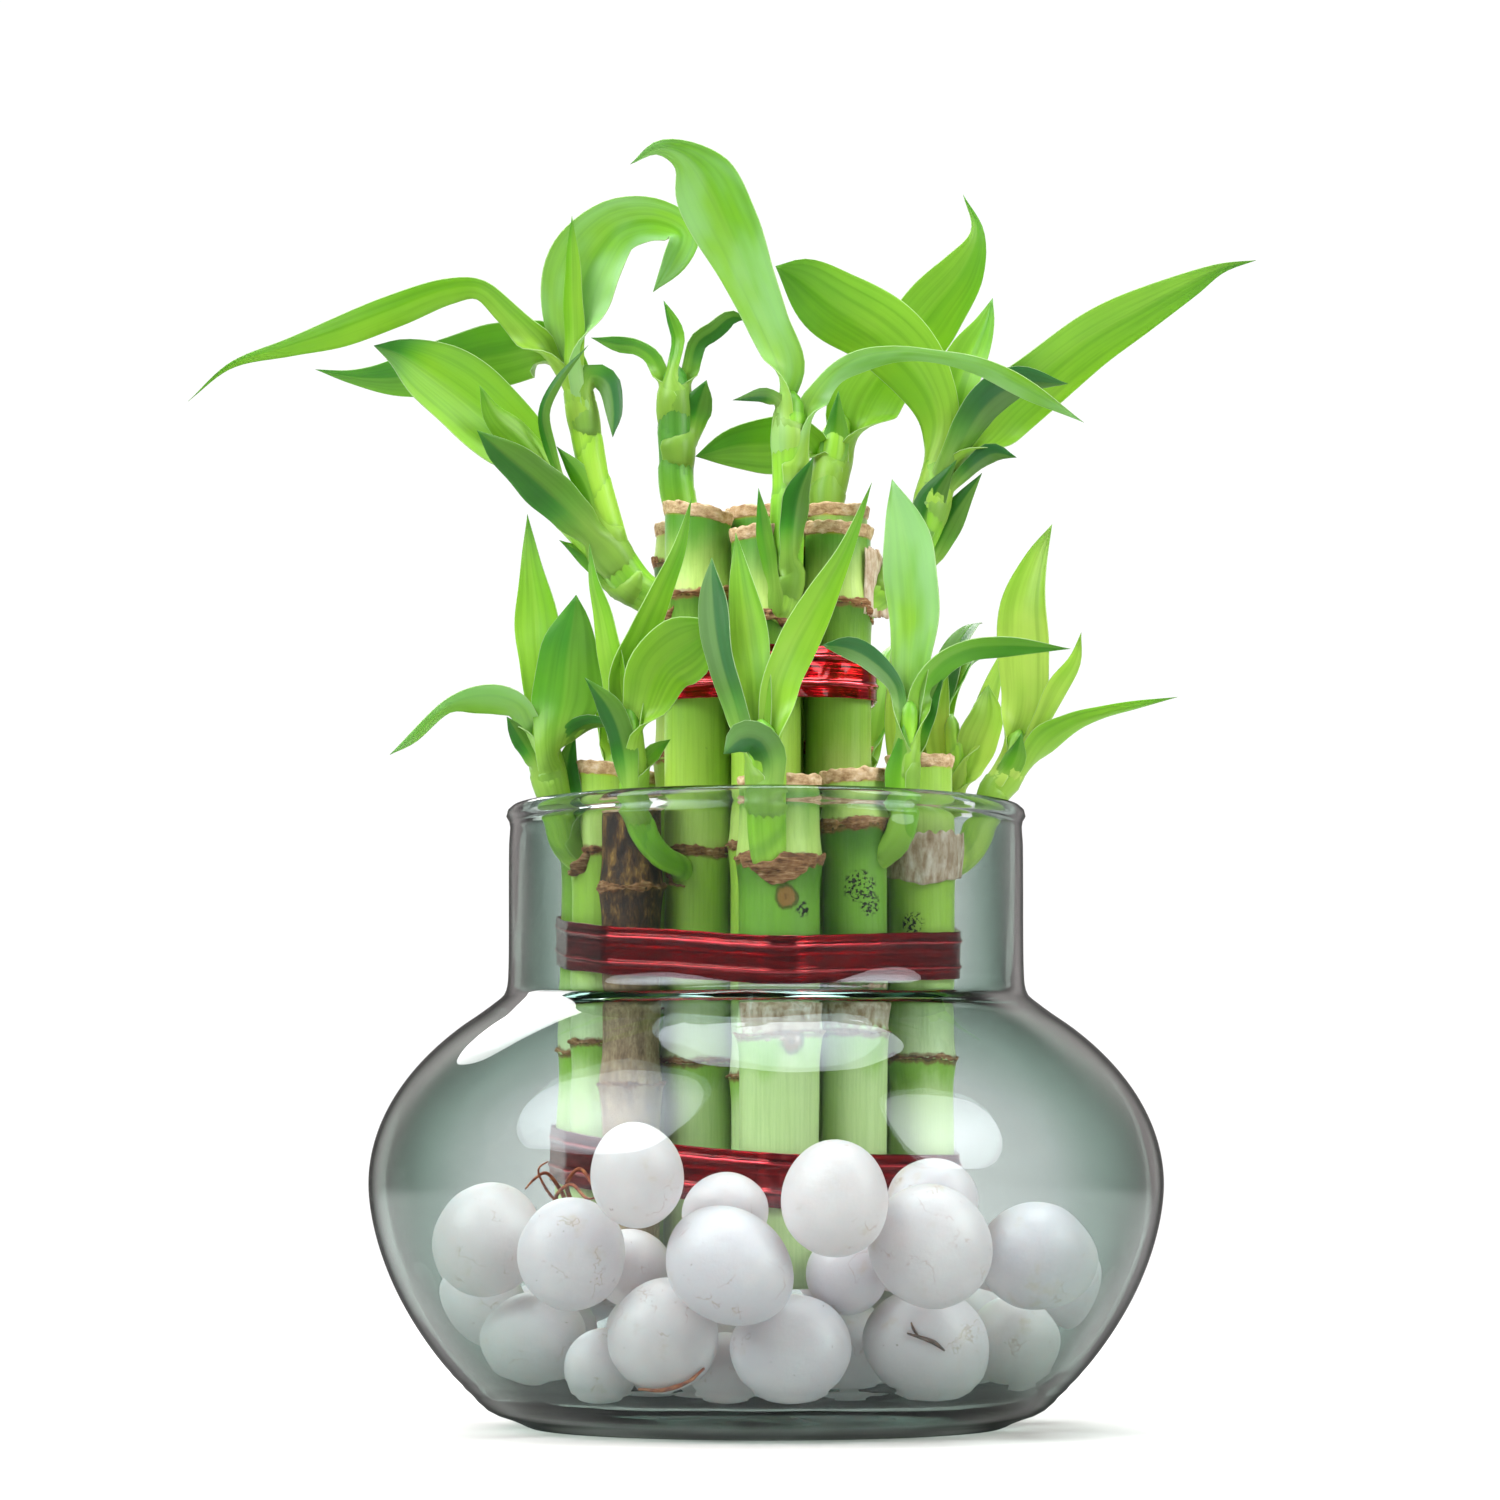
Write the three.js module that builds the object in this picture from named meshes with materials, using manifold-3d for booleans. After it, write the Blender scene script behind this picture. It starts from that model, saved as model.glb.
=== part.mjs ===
// Lucky bamboo: two tiers of tied canes with leafy shoots, on white pebbles in a clear glass bowl.
// Millimetres, +Z up. The origin is the middle of the bowl's foot, and the front of the plant faces -Y.
import * as THREE from 'three';
import Module from 'manifold-3d';
import { mergeVertices } from 'three/addons/utils/BufferGeometryUtils.js';

const wasm = await Module();
wasm.setup();

// Clearance between pieces that touch on the real plant
const GAP = 0.35;

// Glass bowl, blown in one piece
const BOWL = {
  height: 115.4,
  footRadius: 44,
  bulbRadius: 74,
  bulbHeight: 45,
  upperRise: 45.5,
  lowerRise: 61,
  lowerPower: 1.76,
  neckRadius: 48.3,
  neckFoot: 80.5,
  rimHalfHeight: 1.8,
  wall: 2.5,
  gather: 2.5,
  floor: 5,
  sides: 28,
};

// Canes: [x, y, radius, top, leaf scars], with the heights as the eye below sees them
const CANE_FOOT = 26;
const CANE_SIDES = 9;
const TALL_CANES = [
  [0, 0, 7.2, 176, [74, 118]],
  [-14.6, 6.5, 6.4, 173, [80, 128, 165]],
  [-12.8, -7.5, 6.3, 177.3, [70, 110.5, 159]],
  [0, -14.5, 6.6, 172.8, [68, 112, 155]],
  [13.5, -7.5, 6.3, 173.4, [78, 120, 157]],
  [-0.8, 14.5, 6.4, 172, [72, 116, 152]],
  [13, 7, 6.5, 176.4, [84, 130, 167]],
];
const SHORT_CANES = [
  [-33.3, 10.8, 6.2, 126, [72, 112]],
  [-30.6, -2.7, 5.8, 128.5, [74, 110.5]],
  [-24.8, -13.5, 5.4, 122, [66, 104]],
  [2.3, -29, 7.4, 125.5, [75.5, 109.5]],
  [16, -21, 5.9, 127, [75.5, 115]],
  [28.6, -11, 6.1, 129.5, [71, 109]],
  [28.2, 3, 6.2, 127, [73, 112]],
  [26, 16.2, 6.2, 125, [76, 113]],
  [15.5, 25.5, 6.2, 127, [70, 111]],
  [2, 29.3, 6.2, 125, [74, 109]],
  [-11.5, 27.5, 6.2, 128, [71, 113]],
  [-23.5, 21, 6.2, 126, [75, 111]],
];
const SCAR = { proud: 0.28, below: 1.6, above: 1.3 };
const CALLUS = { proud: 0.3, height: 1.8, dome: 0.5 };

// Foil ribbons, each a closed band pulled round the canes that it ties
const RIBBON = { width: 9.6, thickness: 0.7, cornerStep: 20 };
const RIBBONS = {
  upper: { foot: 134.8, slopeX: 0, slopeY: 0.03 },
  middle: { foot: 83.9, slopeX: -0.02, slopeY: 0.12 },
  lower: { foot: 42.9, slopeX: -0.05, slopeY: 0.06 },
};

// The eye that the plant is drawn for. Places are given as it sees them, as x and z on a plane that
// faces it, where the middle of that plane is the point that it looks at.
const EYE = new THREE.Vector3(-3, -795, 45);
const AIM = new THREE.Vector3(-3, 0, 126.3);
const DRAWN_MIDDLE = { x: -3, z: 130.2 };

// Leaves and shoots
const LEAF = { thickness: 1.1, fold: 0.45, stationEvery: 8.5, mostStations: 7 };
const STEM = { sides: 7, stationEvery: 12, mostStations: 5 };

// Shoots of the tall canes. Each line is a kind, the depth of its base and tip behind the bowl's axis,
// a roll in degrees about its own midrib, and points [x, z, half width], or with a depth of their own.
const TALL_SHOOTS = {
  1: [
    ['stem', 5, 9, 0, [[-13, 167, 2.8], [-16.5, 178, 3.3], [-17, 187, 3.3], [-17.2, 195, 3.2], [-17, 203, 1.8]]],
    ['leaf', 7, 5, 0, [[-15.5, 190, 2.4], [-12.5, 196, 2.6], [-11.2, 200, 0]]],
    ['leaf', 9, 13, 35, [[-17.2, 199, 1.6], [-21, 204, 1.6], [-24.5, 206.5, 1.5], [-28, 206.9, 1.4], [-33, 208, 0]]],
    ['leaf', 9, 8, 40, [[-16.8, 200, 1.4], [-16.8, 207.5, 1.3], [-17.7, 211, 1.1], [-19.3, 215, 0]]],
    ['leaf', 9, 12, -30, [[-16.5, 199, 1.8], [-13, 207, 1.8], [-10, 209.3, 1.8], [-6.5, 212, 1.4], [-3.5, 211.5, 0]]],
  ],
  2: [
    ['stem', -8, -12, 0, [[-16, 157, 3], [-24, 160.5, 3.8], [-30, 168, 3.8], [-36, 174, 3.6], [-42, 182, 2.4]]],
    ['stem', -10, -12, 0, [[-27, 164, 2.4], [-29, 170, 2.9], [-32, 180, 2.9], [-34, 190, 2.9], [-36.3, 203, 2]]],
    ['leaf', -13, -14, 10, [[-32, 170, 2.5], [-36, 174, 3.8], [-44, 182, 3.8], [-50, 186, 2], [-54, 189, 0]]],
    ['leaf', -11, -18, -20,
      [[-39, 179, 3], [-46, 186.5, 6], [-55, 195, 7.4], [-63, 201, 6], [-69, 204.8, 3], [-74, 206.5, 0]]],
    ['leaf', -13, -20, -20, [[-40, 181, 2.5], [-46, 188.5, 3], [-51, 193, 2.2], [-54, 199, 0]]],
    ['leaf', -11, -6, 60, [[-37, 178, 1], [-41, 188, 1.2], [-42, 194, 1.1], [-39.5, 199.5, 0.9], [-33.5, 206.6, 0]]],
    ['leaf', -12, -20, 45,
      [[-36, 198, 2], [-43, 206.5, 2.5], [-49, 213.3, 2.2], [-54, 217.5, 1.8], [-60, 217.2, 2.3],
        [-70, 213.6, 3.1], [-80, 209.8, 3.1], [-90, 206.6, 1.8], [-101, 202.9, 0.6], [-109, 196, 0]]],
    ['leaf', -10, 0, 20,
      [[-36.5, 200, 3], [-42, 206, 5], [-50, 205, 6.2], [-60, 203, 5.6], [-70, 200.5, 3.4], [-78, 200.7, 1.4],
        [-85, 202, 0]]],
    ['leaf', -12, -17, 10,
      [[-36, 199, 2.6], [-36, 208, 5], [-35.5, 216, 6.7], [-33, 223, 7], [-28, 229, 5.3], [-21, 230.5, 3.9],
        [-15.5, 228, 2.4], [-16, 223, 1.8], [-21.3, 216.6, 0]]],
    ['leaf', -14, -18, 30, [[-36, 200, 1.8], [-36.4, 212, 1.9], [-36.6, 222, 1.4], [-36.6, 231, 0]]],
    ['leaf', -13, -17, 0, [[-35.5, 197, 2], [-33, 201, 2.2], [-29.8, 199.5, 2.2], [-28.7, 194, 1.6], [-28.9, 189.2, 0]]],
    ['leaf', -12, -15, 0, [[-31, 174, 2], [-34.5, 181, 2.3], [-39.5, 187.5, 0]]],
    ['leaf', -9, -12, 0, [[-28, 162, 1.6], [-34, 166.5, 1.6], [-39, 169.8, 0]]],
    ['stem', 0, 0, 0,
      [[-15.5, 107, 2, -10], [-16.6, 108.5, 2.2, -16], [-19.3, 110, 2.3, -20.5], [-21.8, 112.5, 2.4, -22.8],
        [-24.4, 118, 2.5, -23.8], [-25, 125, 2.5, -24.2], [-26.4, 139, 1.7, -25]]],
    ['leaf', -25, -21, -25,
      [[-25.8, 132, 2], [-26.5, 143, 3.3], [-23.5, 152, 2.8], [-20, 160, 2.2], [-16.5, 168, 1.3], [-14, 177.8, 0]]],
    ['leaf', -25, -22, 25, [[-26, 133, 1.8], [-29, 147, 2.4], [-30.5, 155, 1.8], [-32.4, 162, 1], [-33.3, 169, 0]]],
    ['leaf', -26, -28, 15, [[-25.3, 122, 2], [-27, 131, 2.5], [-29.5, 138, 2.3], [-34.2, 143.9, 0]]],
    ['leaf', -25, -28, -15, [[-26, 133, 2.6], [-20, 146, 6.4], [-14, 150.5, 5.6], [-7, 154.5, 0]]],
    ['leaf', -24, -23, 0, [[-25, 127, 1.5], [-21, 130, 1.5], [-18, 132.2, 0]]],
  ],
  3: [
    ['stem', -18.5, -19.5, 0,
      [[1, 153.5, 2.4], [3, 158, 3.3], [3.8, 170, 3.3], [4.4, 180, 3.3], [4.5, 190, 3.2], [5, 198, 2]]],
    ['leaf', -19, -27, 15,
      [[4.8, 193, 2.6], [3.5, 203, 3.6], [0.5, 211, 4], [-3, 219, 5], [-7, 229, 6.5], [-11.5, 238, 6.2],
        [-15.5, 242.5, 3], [-20.5, 243.8, 1.3], [-25.6, 240.7, 0]]],
    ['leaf', -20, -17, -50,
      [[5.5, 187, 2], [9, 196, 2], [13, 201.5, 1.9], [18, 204, 2.2], [25, 205.3, 1.7], [32, 204.8, 1.3],
        [40, 203, 1.5], [50, 198.3, 1.7], [60, 192, 0]]],
    ['leaf', -20, -24, 20, [[4.5, 195, 1.6], [0, 197, 1.5], [-6.3, 196.2, 0]]],
    ['leaf', -21.5, -23, -20, [[4, 166, 2.2], [6, 178, 2.5], [9, 185.5, 0]]],
    ['leaf', -21, -23, 20, [[2, 160, 1.8], [-0.5, 172, 1.5], [-1.4, 179.6, 0]]],
  ],
  4: [
    ['stem', -8, -4, 0, [[16.5, 156, 2.6], [24, 162, 3.2], [30, 172, 3.2], [32, 180, 3.1], [33.6, 189, 2.2]]],
    ['leaf', -5, -10, 15,
      [[32, 180, 2.6], [32.5, 192, 4], [29, 201, 5.8], [22, 208, 7], [13, 214, 6.8], [6, 219.3, 4], [1.8, 221.5, 0]]],
    ['leaf', -4, 2, 15, [[33.3, 186, 2.4], [35.5, 196, 4], [38.5, 205, 3.8], [41.3, 211, 1.8], [42.8, 215.5, 0]]],
    ['leaf', -4, -8, -25,
      [[32.5, 181, 2.6], [44, 193.5, 5.5], [52, 201, 5.5], [60, 207.2, 5.2], [70, 212.8, 4.2], [80, 218.3, 2.6],
        [86, 221.2, 1], [92.5, 222.6, 0]]],
    ['leaf', -6, -10, -30, [[33, 183, 2.4], [41, 195, 3.5], [48, 199.5, 2.8], [57, 199.3, 0]]],
    ['leaf', -6, -10, -20, [[33, 179, 1.6], [42.5, 186.2, 1.8], [47.3, 185.4, 0]]],
    ['leaf', -8, -9, 0, [[28, 166, 2.4], [31, 177, 2.8], [36, 185, 0]]],
    ['leaf', -5, -6, 0, [[28.5, 166, 2.2], [35, 174, 2.6], [40.8, 182.5, 0]]],
  ],
  6: [
    ['stem', 6, 12, 0, [[12, 169, 2.8], [11.5, 177.5, 3.2], [12.5, 184, 3.2], [14, 194, 2]]],
    ['leaf', 11, 2, 20, [[12.5, 184, 2.6], [7, 188, 4.4], [0, 188, 5.2], [-6, 187.6, 4.2], [-13.3, 185.6, 0]]],
    ['leaf', 9, 8, 0, [[12.5, 181, 2.2], [13, 188, 2.7], [13.7, 198, 0]]],
    ['leaf', 12, 16, -20,
      [[13, 184, 2.4], [18, 195, 6.3], [24, 204, 6.5], [31, 213, 6], [37, 220.5, 4.2], [39.8, 228, 1.3],
        [37.2, 235, 0]]],
  ],
};

// Shoots of the short canes, in the same form
const SHORT_SHOOTS = {
  1: [
    ['stem', -5, -9, 0, [[-33, 109, 2.4], [-37, 112, 3], [-39.5, 120, 3], [-41.5, 128, 2.9], [-42, 137, 2]]],
    ['leaf', -9, -6, 20, [[-41.8, 131, 2.2], [-42.5, 147, 4], [-43, 156, 4], [-44.3, 166, 1.8], [-45, 174.7, 0]]],
    ['leaf', -8, -2, 15, [[-41.5, 130, 2.4], [-40.5, 141, 5.4], [-38.5, 149, 5.2], [-36.5, 155.5, 2], [-35.8, 159, 0]]],
    ['leaf', -9, -14, 40,
      [[-41.8, 131, 2], [-46, 138, 2.3], [-50, 140, 3], [-55, 140.2, 2.6], [-60, 138.8, 1.3], [-67, 132.3, 0.9],
        [-71, 129.3, 0]]],
    ['leaf', -10, -12, 0, [[-42, 127, 1.8], [-47, 133.5, 1.6], [-48.9, 136.5, 0]]],
    ['leaf', -7, 1, -20, [[-41.5, 131, 2], [-36, 139, 3.5], [-31, 146, 2.4], [-29.5, 150.5, 0]]],
    ['leaf', -10, -14, -30, [[-41, 130, 1.8], [-34, 135.2, 1.6], [-28, 134.8, 0]]],
    ['leaf', -7, -6, 0, [[-38, 116, 2], [-37.5, 127, 2.1], [-36, 133.5, 0]]],
  ],
  3: [
    ['stem', -34, -37.5, 0, [[1.2, 107.5, 2.8], [0.4, 112.5, 3.6], [0, 124, 3.6], [-1, 136, 2.2]]],
    ['leaf', -37, -33, 30,
      [[-1, 129, 2], [-5.5, 138, 2.1], [-8, 146, 2.6], [-9.4, 153, 3], [-10, 160, 2.2], [-10.2, 166.5, 0]]],
    ['leaf', -36.5, -30, 10, [[-1, 129, 2.6], [-2, 142, 3.3], [-3, 151, 3.6], [-4.3, 160, 2.7], [-5.7, 171.2, 0]]],
    ['leaf', -36.5, -28, -20,
      [[-0.5, 129, 2.4], [2.5, 142, 3.6], [5.5, 150, 3.8], [10, 158.5, 3], [15, 168, 1.6], [20, 180.7, 0]]],
    ['leaf', -38.5, -43, 0, [[-0.2, 125, 2.2], [-0.6, 133, 2.2], [-4, 133.8, 2], [-8, 129.8, 0]]],
  ],
  4: [
    ['stem', 0, 0, 0,
      [[17.5, 108.5, 2, -21.5], [22, 110.5, 2.4, -23.5], [25.6, 115, 2.5, -24.8], [26.2, 125, 2.5, -25],
        [27, 140, 1.7, -25]]],
    ['leaf', -25, -21, 10,
      [[26.8, 134, 2], [27.5, 148, 3.8], [28, 158, 5], [27, 168, 4.8], [25.5, 175, 2.9], [23.8, 181.3, 0]]],
    ['leaf', -26, -27, -20,
      [[26.6, 133, 1.6], [24.5, 142, 1.5], [20, 147, 2.2], [15.5, 149.3, 2.1], [10.5, 150, 0]]],
    ['leaf', -25, -22, -45,
      [[26.8, 132, 1.6], [29, 141, 2.1], [32.5, 146.3, 2.2], [38, 149.3, 2.2], [45, 150, 1.9], [57.5, 149.3, 0]]],
    ['leaf', -24.5, -22, 0, [[26.6, 129, 1.8], [31, 139, 1.6], [33.8, 145.5, 0]]],
    ['leaf', -26, -28, 0, [[25.6, 117, 2], [25.4, 126, 2.8], [26, 135, 0]]],
  ],
  5: [
    ['stem', 0, 0, 0,
      [[30.5, 107.5, 2.4, -10], [36, 109.5, 2.9, -8], [40, 114, 3, -6], [41.9, 118.5, 2.7, -4.5],
        [42.8, 121.8, 2.7, -4], [45.6, 125.5, 2.8, -3.5], [48, 134, 1.9, -3]]],
    ['leaf', -3, 2, 15,
      [[47.2, 127, 2.1], [48.5, 137, 4.2], [48.8, 148, 4.7], [48.8, 158, 4.2], [51, 166, 2.3], [54, 172.8, 0]]],
    ['leaf', -3.5, -7, -30, [[47.6, 129, 1.8], [51.5, 134.5, 1.7], [55, 141.5, 2], [58.3, 147, 1.2], [59.5, 152.4, 0]]],
    ['leaf', -4, -9, -40,
      [[46.5, 125.5, 2.2], [52.5, 131.5, 2.8], [58, 135.3, 1.9], [63, 137, 1.2], [70, 138.6, 0.8], [77.7, 140.2, 0]]],
    ['leaf', -5.5, -7, 0, [[44.6, 124.5, 1.9], [46.8, 128, 2.2], [48.3, 133.5, 0]]],
  ],
  6: [
    ['stem', 0, 0, 0, [[30.5, 110, 1.8, 4], [34, 117, 2.1, 6], [35.5, 126, 2, 7], [35, 137, 1.3, 8]]],
    ['leaf', 7, 9, -20, [[35.2, 123, 1.8], [39, 130, 3.5], [41.5, 137, 3.2], [42, 142.5, 0]]],
    ['leaf', 7, 10, 20, [[35.4, 125, 1.8], [32.5, 134, 2.5], [34.3, 145.5, 0]]],
    ['leaf', 7, 12, -30, [[35.2, 128, 1.6], [41, 138, 2], [46, 152, 0]]],
    ['leaf', 4.5, 7, 0, [[32, 113, 1.6], [26, 124, 2.1], [24.4, 138, 1.9], [24.6, 155, 0]]],
  ],
};

// Shoots that lean back, made by one rule: [short cane, foot height, azimuth, reach, rise, leaves, seed]
const BACK_SHOOTS = [
  [7, 112, 40, 20, 46, 3, 11],
  [8, 110, 62, 34, 50, 3, 12],
  [9, 108, 88, 36, 54, 3, 13],
  [10, 112, 114, 34, 50, 3, 14],
  [11, 110, 134, 24, 48, 3, 15],
];
const BACK_TALL_SHOOT = [5, 151, 92, 26, 24, 3, 16];
const BACK = { stemRadius: 2.6, stemTaper: 0.3, stemLength: 19, lean: 5, spread: 9, halfWidth: 4, arch: 1.5 };

// Pebbles seen through the front of the glass: [x, z, half width, half height, tilt in degrees, row],
// where row 0 lies against the glass and each further row one pebble deeper
const FRONT_PEBBLES = [
  [-52.5, 37, 11.6, 11.4, 0, 0],
  [-34.6, 33.2, 11.2, 11.6, 0, 0],
  [-23, 49.3, 9.6, 10.8, 0, 0],
  [-6.2, 34.8, 13.9, 11.6, -22, 0],
  [-7.4, 43, 8.9, 8.2, 0, 1.3],
  [12.2, 44.7, 11, 11.7, 0, 0],
  [31.6, 45.8, 9.3, 9, 12, 0.75],
  [30.4, 37, 12.6, 12.6, 0, 0],
  [51.4, 35.4, 11.9, 10.6, 10, 0],
  [-44.2, 20.6, 10.9, 8.9, -8, 0],
  [-19.4, 21.1, 11.2, 11.3, 0, 0],
  [5, 16.6, 12.2, 10.8, 0, 0],
  [29.6, 17.4, 12.9, 11.2, -6, 0],
  [48.6, 17.6, 9.4, 9.3, 0, 0],
  [-30.5, 11.8, 7.8, 7.3, 0, 0.3],
  [-8.2, 12.4, 7.6, 7.3, 0, 0.5],
  [61, 27.2, 6.6, 8.6, 0, 0],
  [-60, 22.5, 9, 9, 0, 0.3],
  [-26, 33, 8.2, 8.2, 0, 0.8],
  [13.6, 28.3, 8, 8, 0, 0.8],
];

// Pebbles round the back and under the canes, in rows: azimuths from and to, radius and height of the
// centres, and half size
const BACK_ROWS = [
  { count: 5, from: 14, to: 166, radius: 46, height: 15, size: 10.6 },
  { count: 6, from: 17, to: 163, radius: 53, height: 30, size: 11.4 },
];
const UNDER_ROW = { count: 5, from: 20, to: 308, radius: 22, height: 15.4, size: 10 };

// How the pebbles settle. A held pebble has a drawn place, and gives way less than a loose one.
const PEBBLE = {
  gap: 0.1,
  steps: 250,
  searches: 4,
  settle: 0.2,
  homing: 0.3,
  depthRatio: 0.76,
  spareGlass: 0.4,
  heavy: 0.1,
};
const NEAREST_DEPTH = 8;

// Colours of the pieces
const MATERIALS = {
  glass: { color: 0xdfe9e4, roughness: 0.05, metalness: 0 },
  cane: { color: 0x7fa83f, roughness: 0.5, metalness: 0 },
  deadCane: { color: 0x4a2f1f, roughness: 0.8, metalness: 0 },
  foil: { color: 0xb3161e, roughness: 0.25, metalness: 1 },
  pebble: { color: 0xe9e7e1, roughness: 0.3, metalness: 0 },
};

const plant = new THREE.Group();

// Repeatable draws between 0 and 1 from one seed
function draws(seed) {
  let state = seed * 2654435761 % 4294967296;
  return () => {
    state = (state * 1664525 + 1013904223) % 4294967296;
    return state / 4294967296;
  };
}

// Drawn point, x and z, pushed along the eye's sight line to its depth behind the bowl's axis
function sighted(x, z, depth) {
  const across = new THREE.Vector3(1, 0, 0);
  const up = across.clone().cross(AIM.clone().sub(EYE).normalize());
  const ray = AIM.clone().sub(EYE);
  ray.addScaledVector(across, x - DRAWN_MIDDLE.x).addScaledVector(up, z - DRAWN_MIDDLE.z);
  return EYE.clone().addScaledVector(ray, (depth - EYE.y) / ray.y);
}

function addPiece(name, geometry, look) {
  const mesh = new THREE.Mesh(geometry, new THREE.MeshStandardMaterial(MATERIALS[look]));
  mesh.name = name;
  plant.add(mesh);
}

// Closed surface through rings of points. Each ring runs anticlockwise about the direction of travel,
// and a last ring of one point makes a pointed tip.
function loft(rings) {
  const positions = [];
  const starts = [];
  for (const ring of rings) {
    starts.push(positions.length / 3);
    for (const p of ring) {
      positions.push(p.x, p.y, p.z);
    }
  }
  const index = [];
  const sides = rings[0].length;
  for (let i = 0; i + 1 < rings.length; i++) {
    for (let j = 0; j < sides; j++) {
      const next = (j + 1) % sides;
      const a = starts[i] + j;
      const b = starts[i] + next;
      if (rings[i + 1].length === 1) {
        index.push(a, b, starts[i + 1]);
      } else {
        index.push(a, b, starts[i + 1] + next);
        index.push(a, starts[i + 1] + next, starts[i + 1] + j);
      }
    }
  }
  for (let j = 1; j + 1 < sides; j++) {
    index.push(starts[0], starts[0] + j + 1, starts[0] + j);
    if (rings.at(-1).length > 1) {
      index.push(starts.at(-1), starts.at(-1) + j, starts.at(-1) + j + 1);
    }
  }
  const geometry = new THREE.BufferGeometry();
  geometry.setAttribute('position', new THREE.Float32BufferAttribute(positions, 3));
  geometry.setIndex(index);
  return geometry;
}

function toSolid(geometry) {
  const bare = geometry.clone();
  bare.deleteAttribute('normal');
  bare.deleteAttribute('uv');
  const merged = mergeVertices(bare, 1e-4);
  const mesh = new wasm.Mesh({
    numProp: 3,
    vertProperties: new Float32Array(merged.attributes.position.array),
    triVerts: new Uint32Array(merged.index.array),
  });
  return new wasm.Manifold(mesh);
}

function toGeometry(solid) {
  const mesh = solid.getMesh();
  const geometry = new THREE.BufferGeometry();
  geometry.setAttribute('position', new THREE.Float32BufferAttribute(mesh.vertProperties, mesh.numProp));
  geometry.setIndex(Array.from(mesh.triVerts));
  return geometry;
}

function fuse(geometries) {
  let whole = toSolid(geometries[0]);
  for (const geometry of geometries.slice(1)) {
    whole = whole.add(toSolid(geometry));
  }
  return toGeometry(whole);
}

// Outer radius of the bowl at a height on its bulb: two half ovals that meet at the widest level
function bulbRadius(z) {
  const above = z > BOWL.bulbHeight;
  const rise = above ? BOWL.upperRise : BOWL.lowerRise;
  const power = above ? 2 : BOWL.lowerPower;
  const u = Math.abs(z - BOWL.bulbHeight) / rise;
  return BOWL.bulbRadius * Math.sqrt(Math.max(0, 1 - u ** power));
}

// Inner radius: the wall is thicker low down, where the glass gathers into the foot
function innerRadius(z) {
  const low = Math.max(0, 1 - z / BOWL.bulbHeight);
  return Math.max(bulbRadius(z) - BOWL.wall - BOWL.gather * low ** 2, BOWL.neckRadius - BOWL.wall);
}

function bowlGeometry() {
  const rimRadius = BOWL.neckRadius - BOWL.wall / 2;
  const rimCentre = BOWL.height - BOWL.rimHalfHeight;
  const innerNeck = BOWL.neckRadius - BOWL.wall;
  const outline = [[0, 0], [BOWL.footRadius, 0], [BOWL.footRadius + 2.9, 1.5]];
  for (const z of [4.5, 9, 15, 22, 29, 37, 45, 52, 59, 65, 70.5, 75]) {
    outline.push([bulbRadius(z), z]);
  }
  outline.push([BOWL.neckRadius + 1.4, BOWL.neckFoot - 1.6], [BOWL.neckRadius, BOWL.neckFoot + 1]);
  outline.push([BOWL.neckRadius, rimCentre - 2.2]);
  for (const turn of [-40, 0, 60, 120, 180]) {
    const angle = THREE.MathUtils.degToRad(turn);
    const r = rimRadius + (BOWL.wall / 2 + 0.45) * Math.cos(angle);
    outline.push([r, rimCentre + BOWL.rimHalfHeight * Math.sin(angle)]);
  }
  outline.push([innerNeck, rimCentre - 3], [innerNeck, BOWL.neckFoot + 1]);
  for (const z of [77, 71, 64, 55, 45, 36, 28, 20, 13, 8]) {
    outline.push([innerRadius(z), z]);
  }
  outline.push([innerRadius(8) - 4, BOWL.floor + 0.7], [innerRadius(8) - 10, BOWL.floor], [0, BOWL.floor]);
  const points = outline.map(([r, z]) => new THREE.Vector2(r, z));
  const lathe = new THREE.LatheGeometry(points, BOWL.sides);
  lathe.rotateX(Math.PI / 2);
  return toGeometry(toSolid(lathe));
}

// Cane: a round stem with a raised scar where each old leaf was, cut flat and dried proud on top
function caneGeometry([x, y, radius, drawnTop, drawnScars]) {
  const top = sighted(x, drawnTop, y).z;
  const profile = [[CANE_FOOT, radius - 0.6], [CANE_FOOT + 0.8, radius]];
  for (const drawn of drawnScars) {
    const z = sighted(x, drawn, y).z;
    profile.push([z - SCAR.below, radius], [z, radius + SCAR.proud], [z + SCAR.above, radius]);
  }
  profile.push([top - CALLUS.height, radius], [top - CALLUS.height + 0.5, radius + CALLUS.proud]);
  profile.push([top - CALLUS.dome, radius + CALLUS.proud], [top, radius - 0.8]);
  const rings = profile.map(([z, r]) => {
    const ring = [];
    for (let j = 0; j < CANE_SIDES; j++) {
      const angle = 2 * Math.PI * j / CANE_SIDES;
      ring.push(new THREE.Vector3(x + r * Math.cos(angle), y + r * Math.sin(angle), z));
    }
    return ring;
  });
  return loft(rings);
}

// Smooth stations along a drawn leaf or stem: place and half width, evenly spaced along the curve
function stations([, depthBase, depthTip, , points], every, most) {
  const knots = points.map(([x, z], i) => {
    const own = points[i][3];
    return sighted(x, z, own ?? THREE.MathUtils.lerp(depthBase, depthTip, i / (points.length - 1)));
  });
  const curve = new THREE.CatmullRomCurve3(knots, false, 'centripetal');
  const count = Math.min(most, Math.max(3, Math.round(curve.getLength() / every)));
  const result = [];
  for (let i = 0; i <= count; i++) {
    const u = curve.getUtoTmapping(i / count);
    const place = u * (points.length - 1);
    const k = Math.min(points.length - 2, Math.floor(place));
    const width = THREE.MathUtils.lerp(points[k][2], points[k + 1][2], place - k);
    result.push({ centre: curve.getPoint(u), along: curve.getTangent(u), width });
  }
  return result;
}

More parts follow.
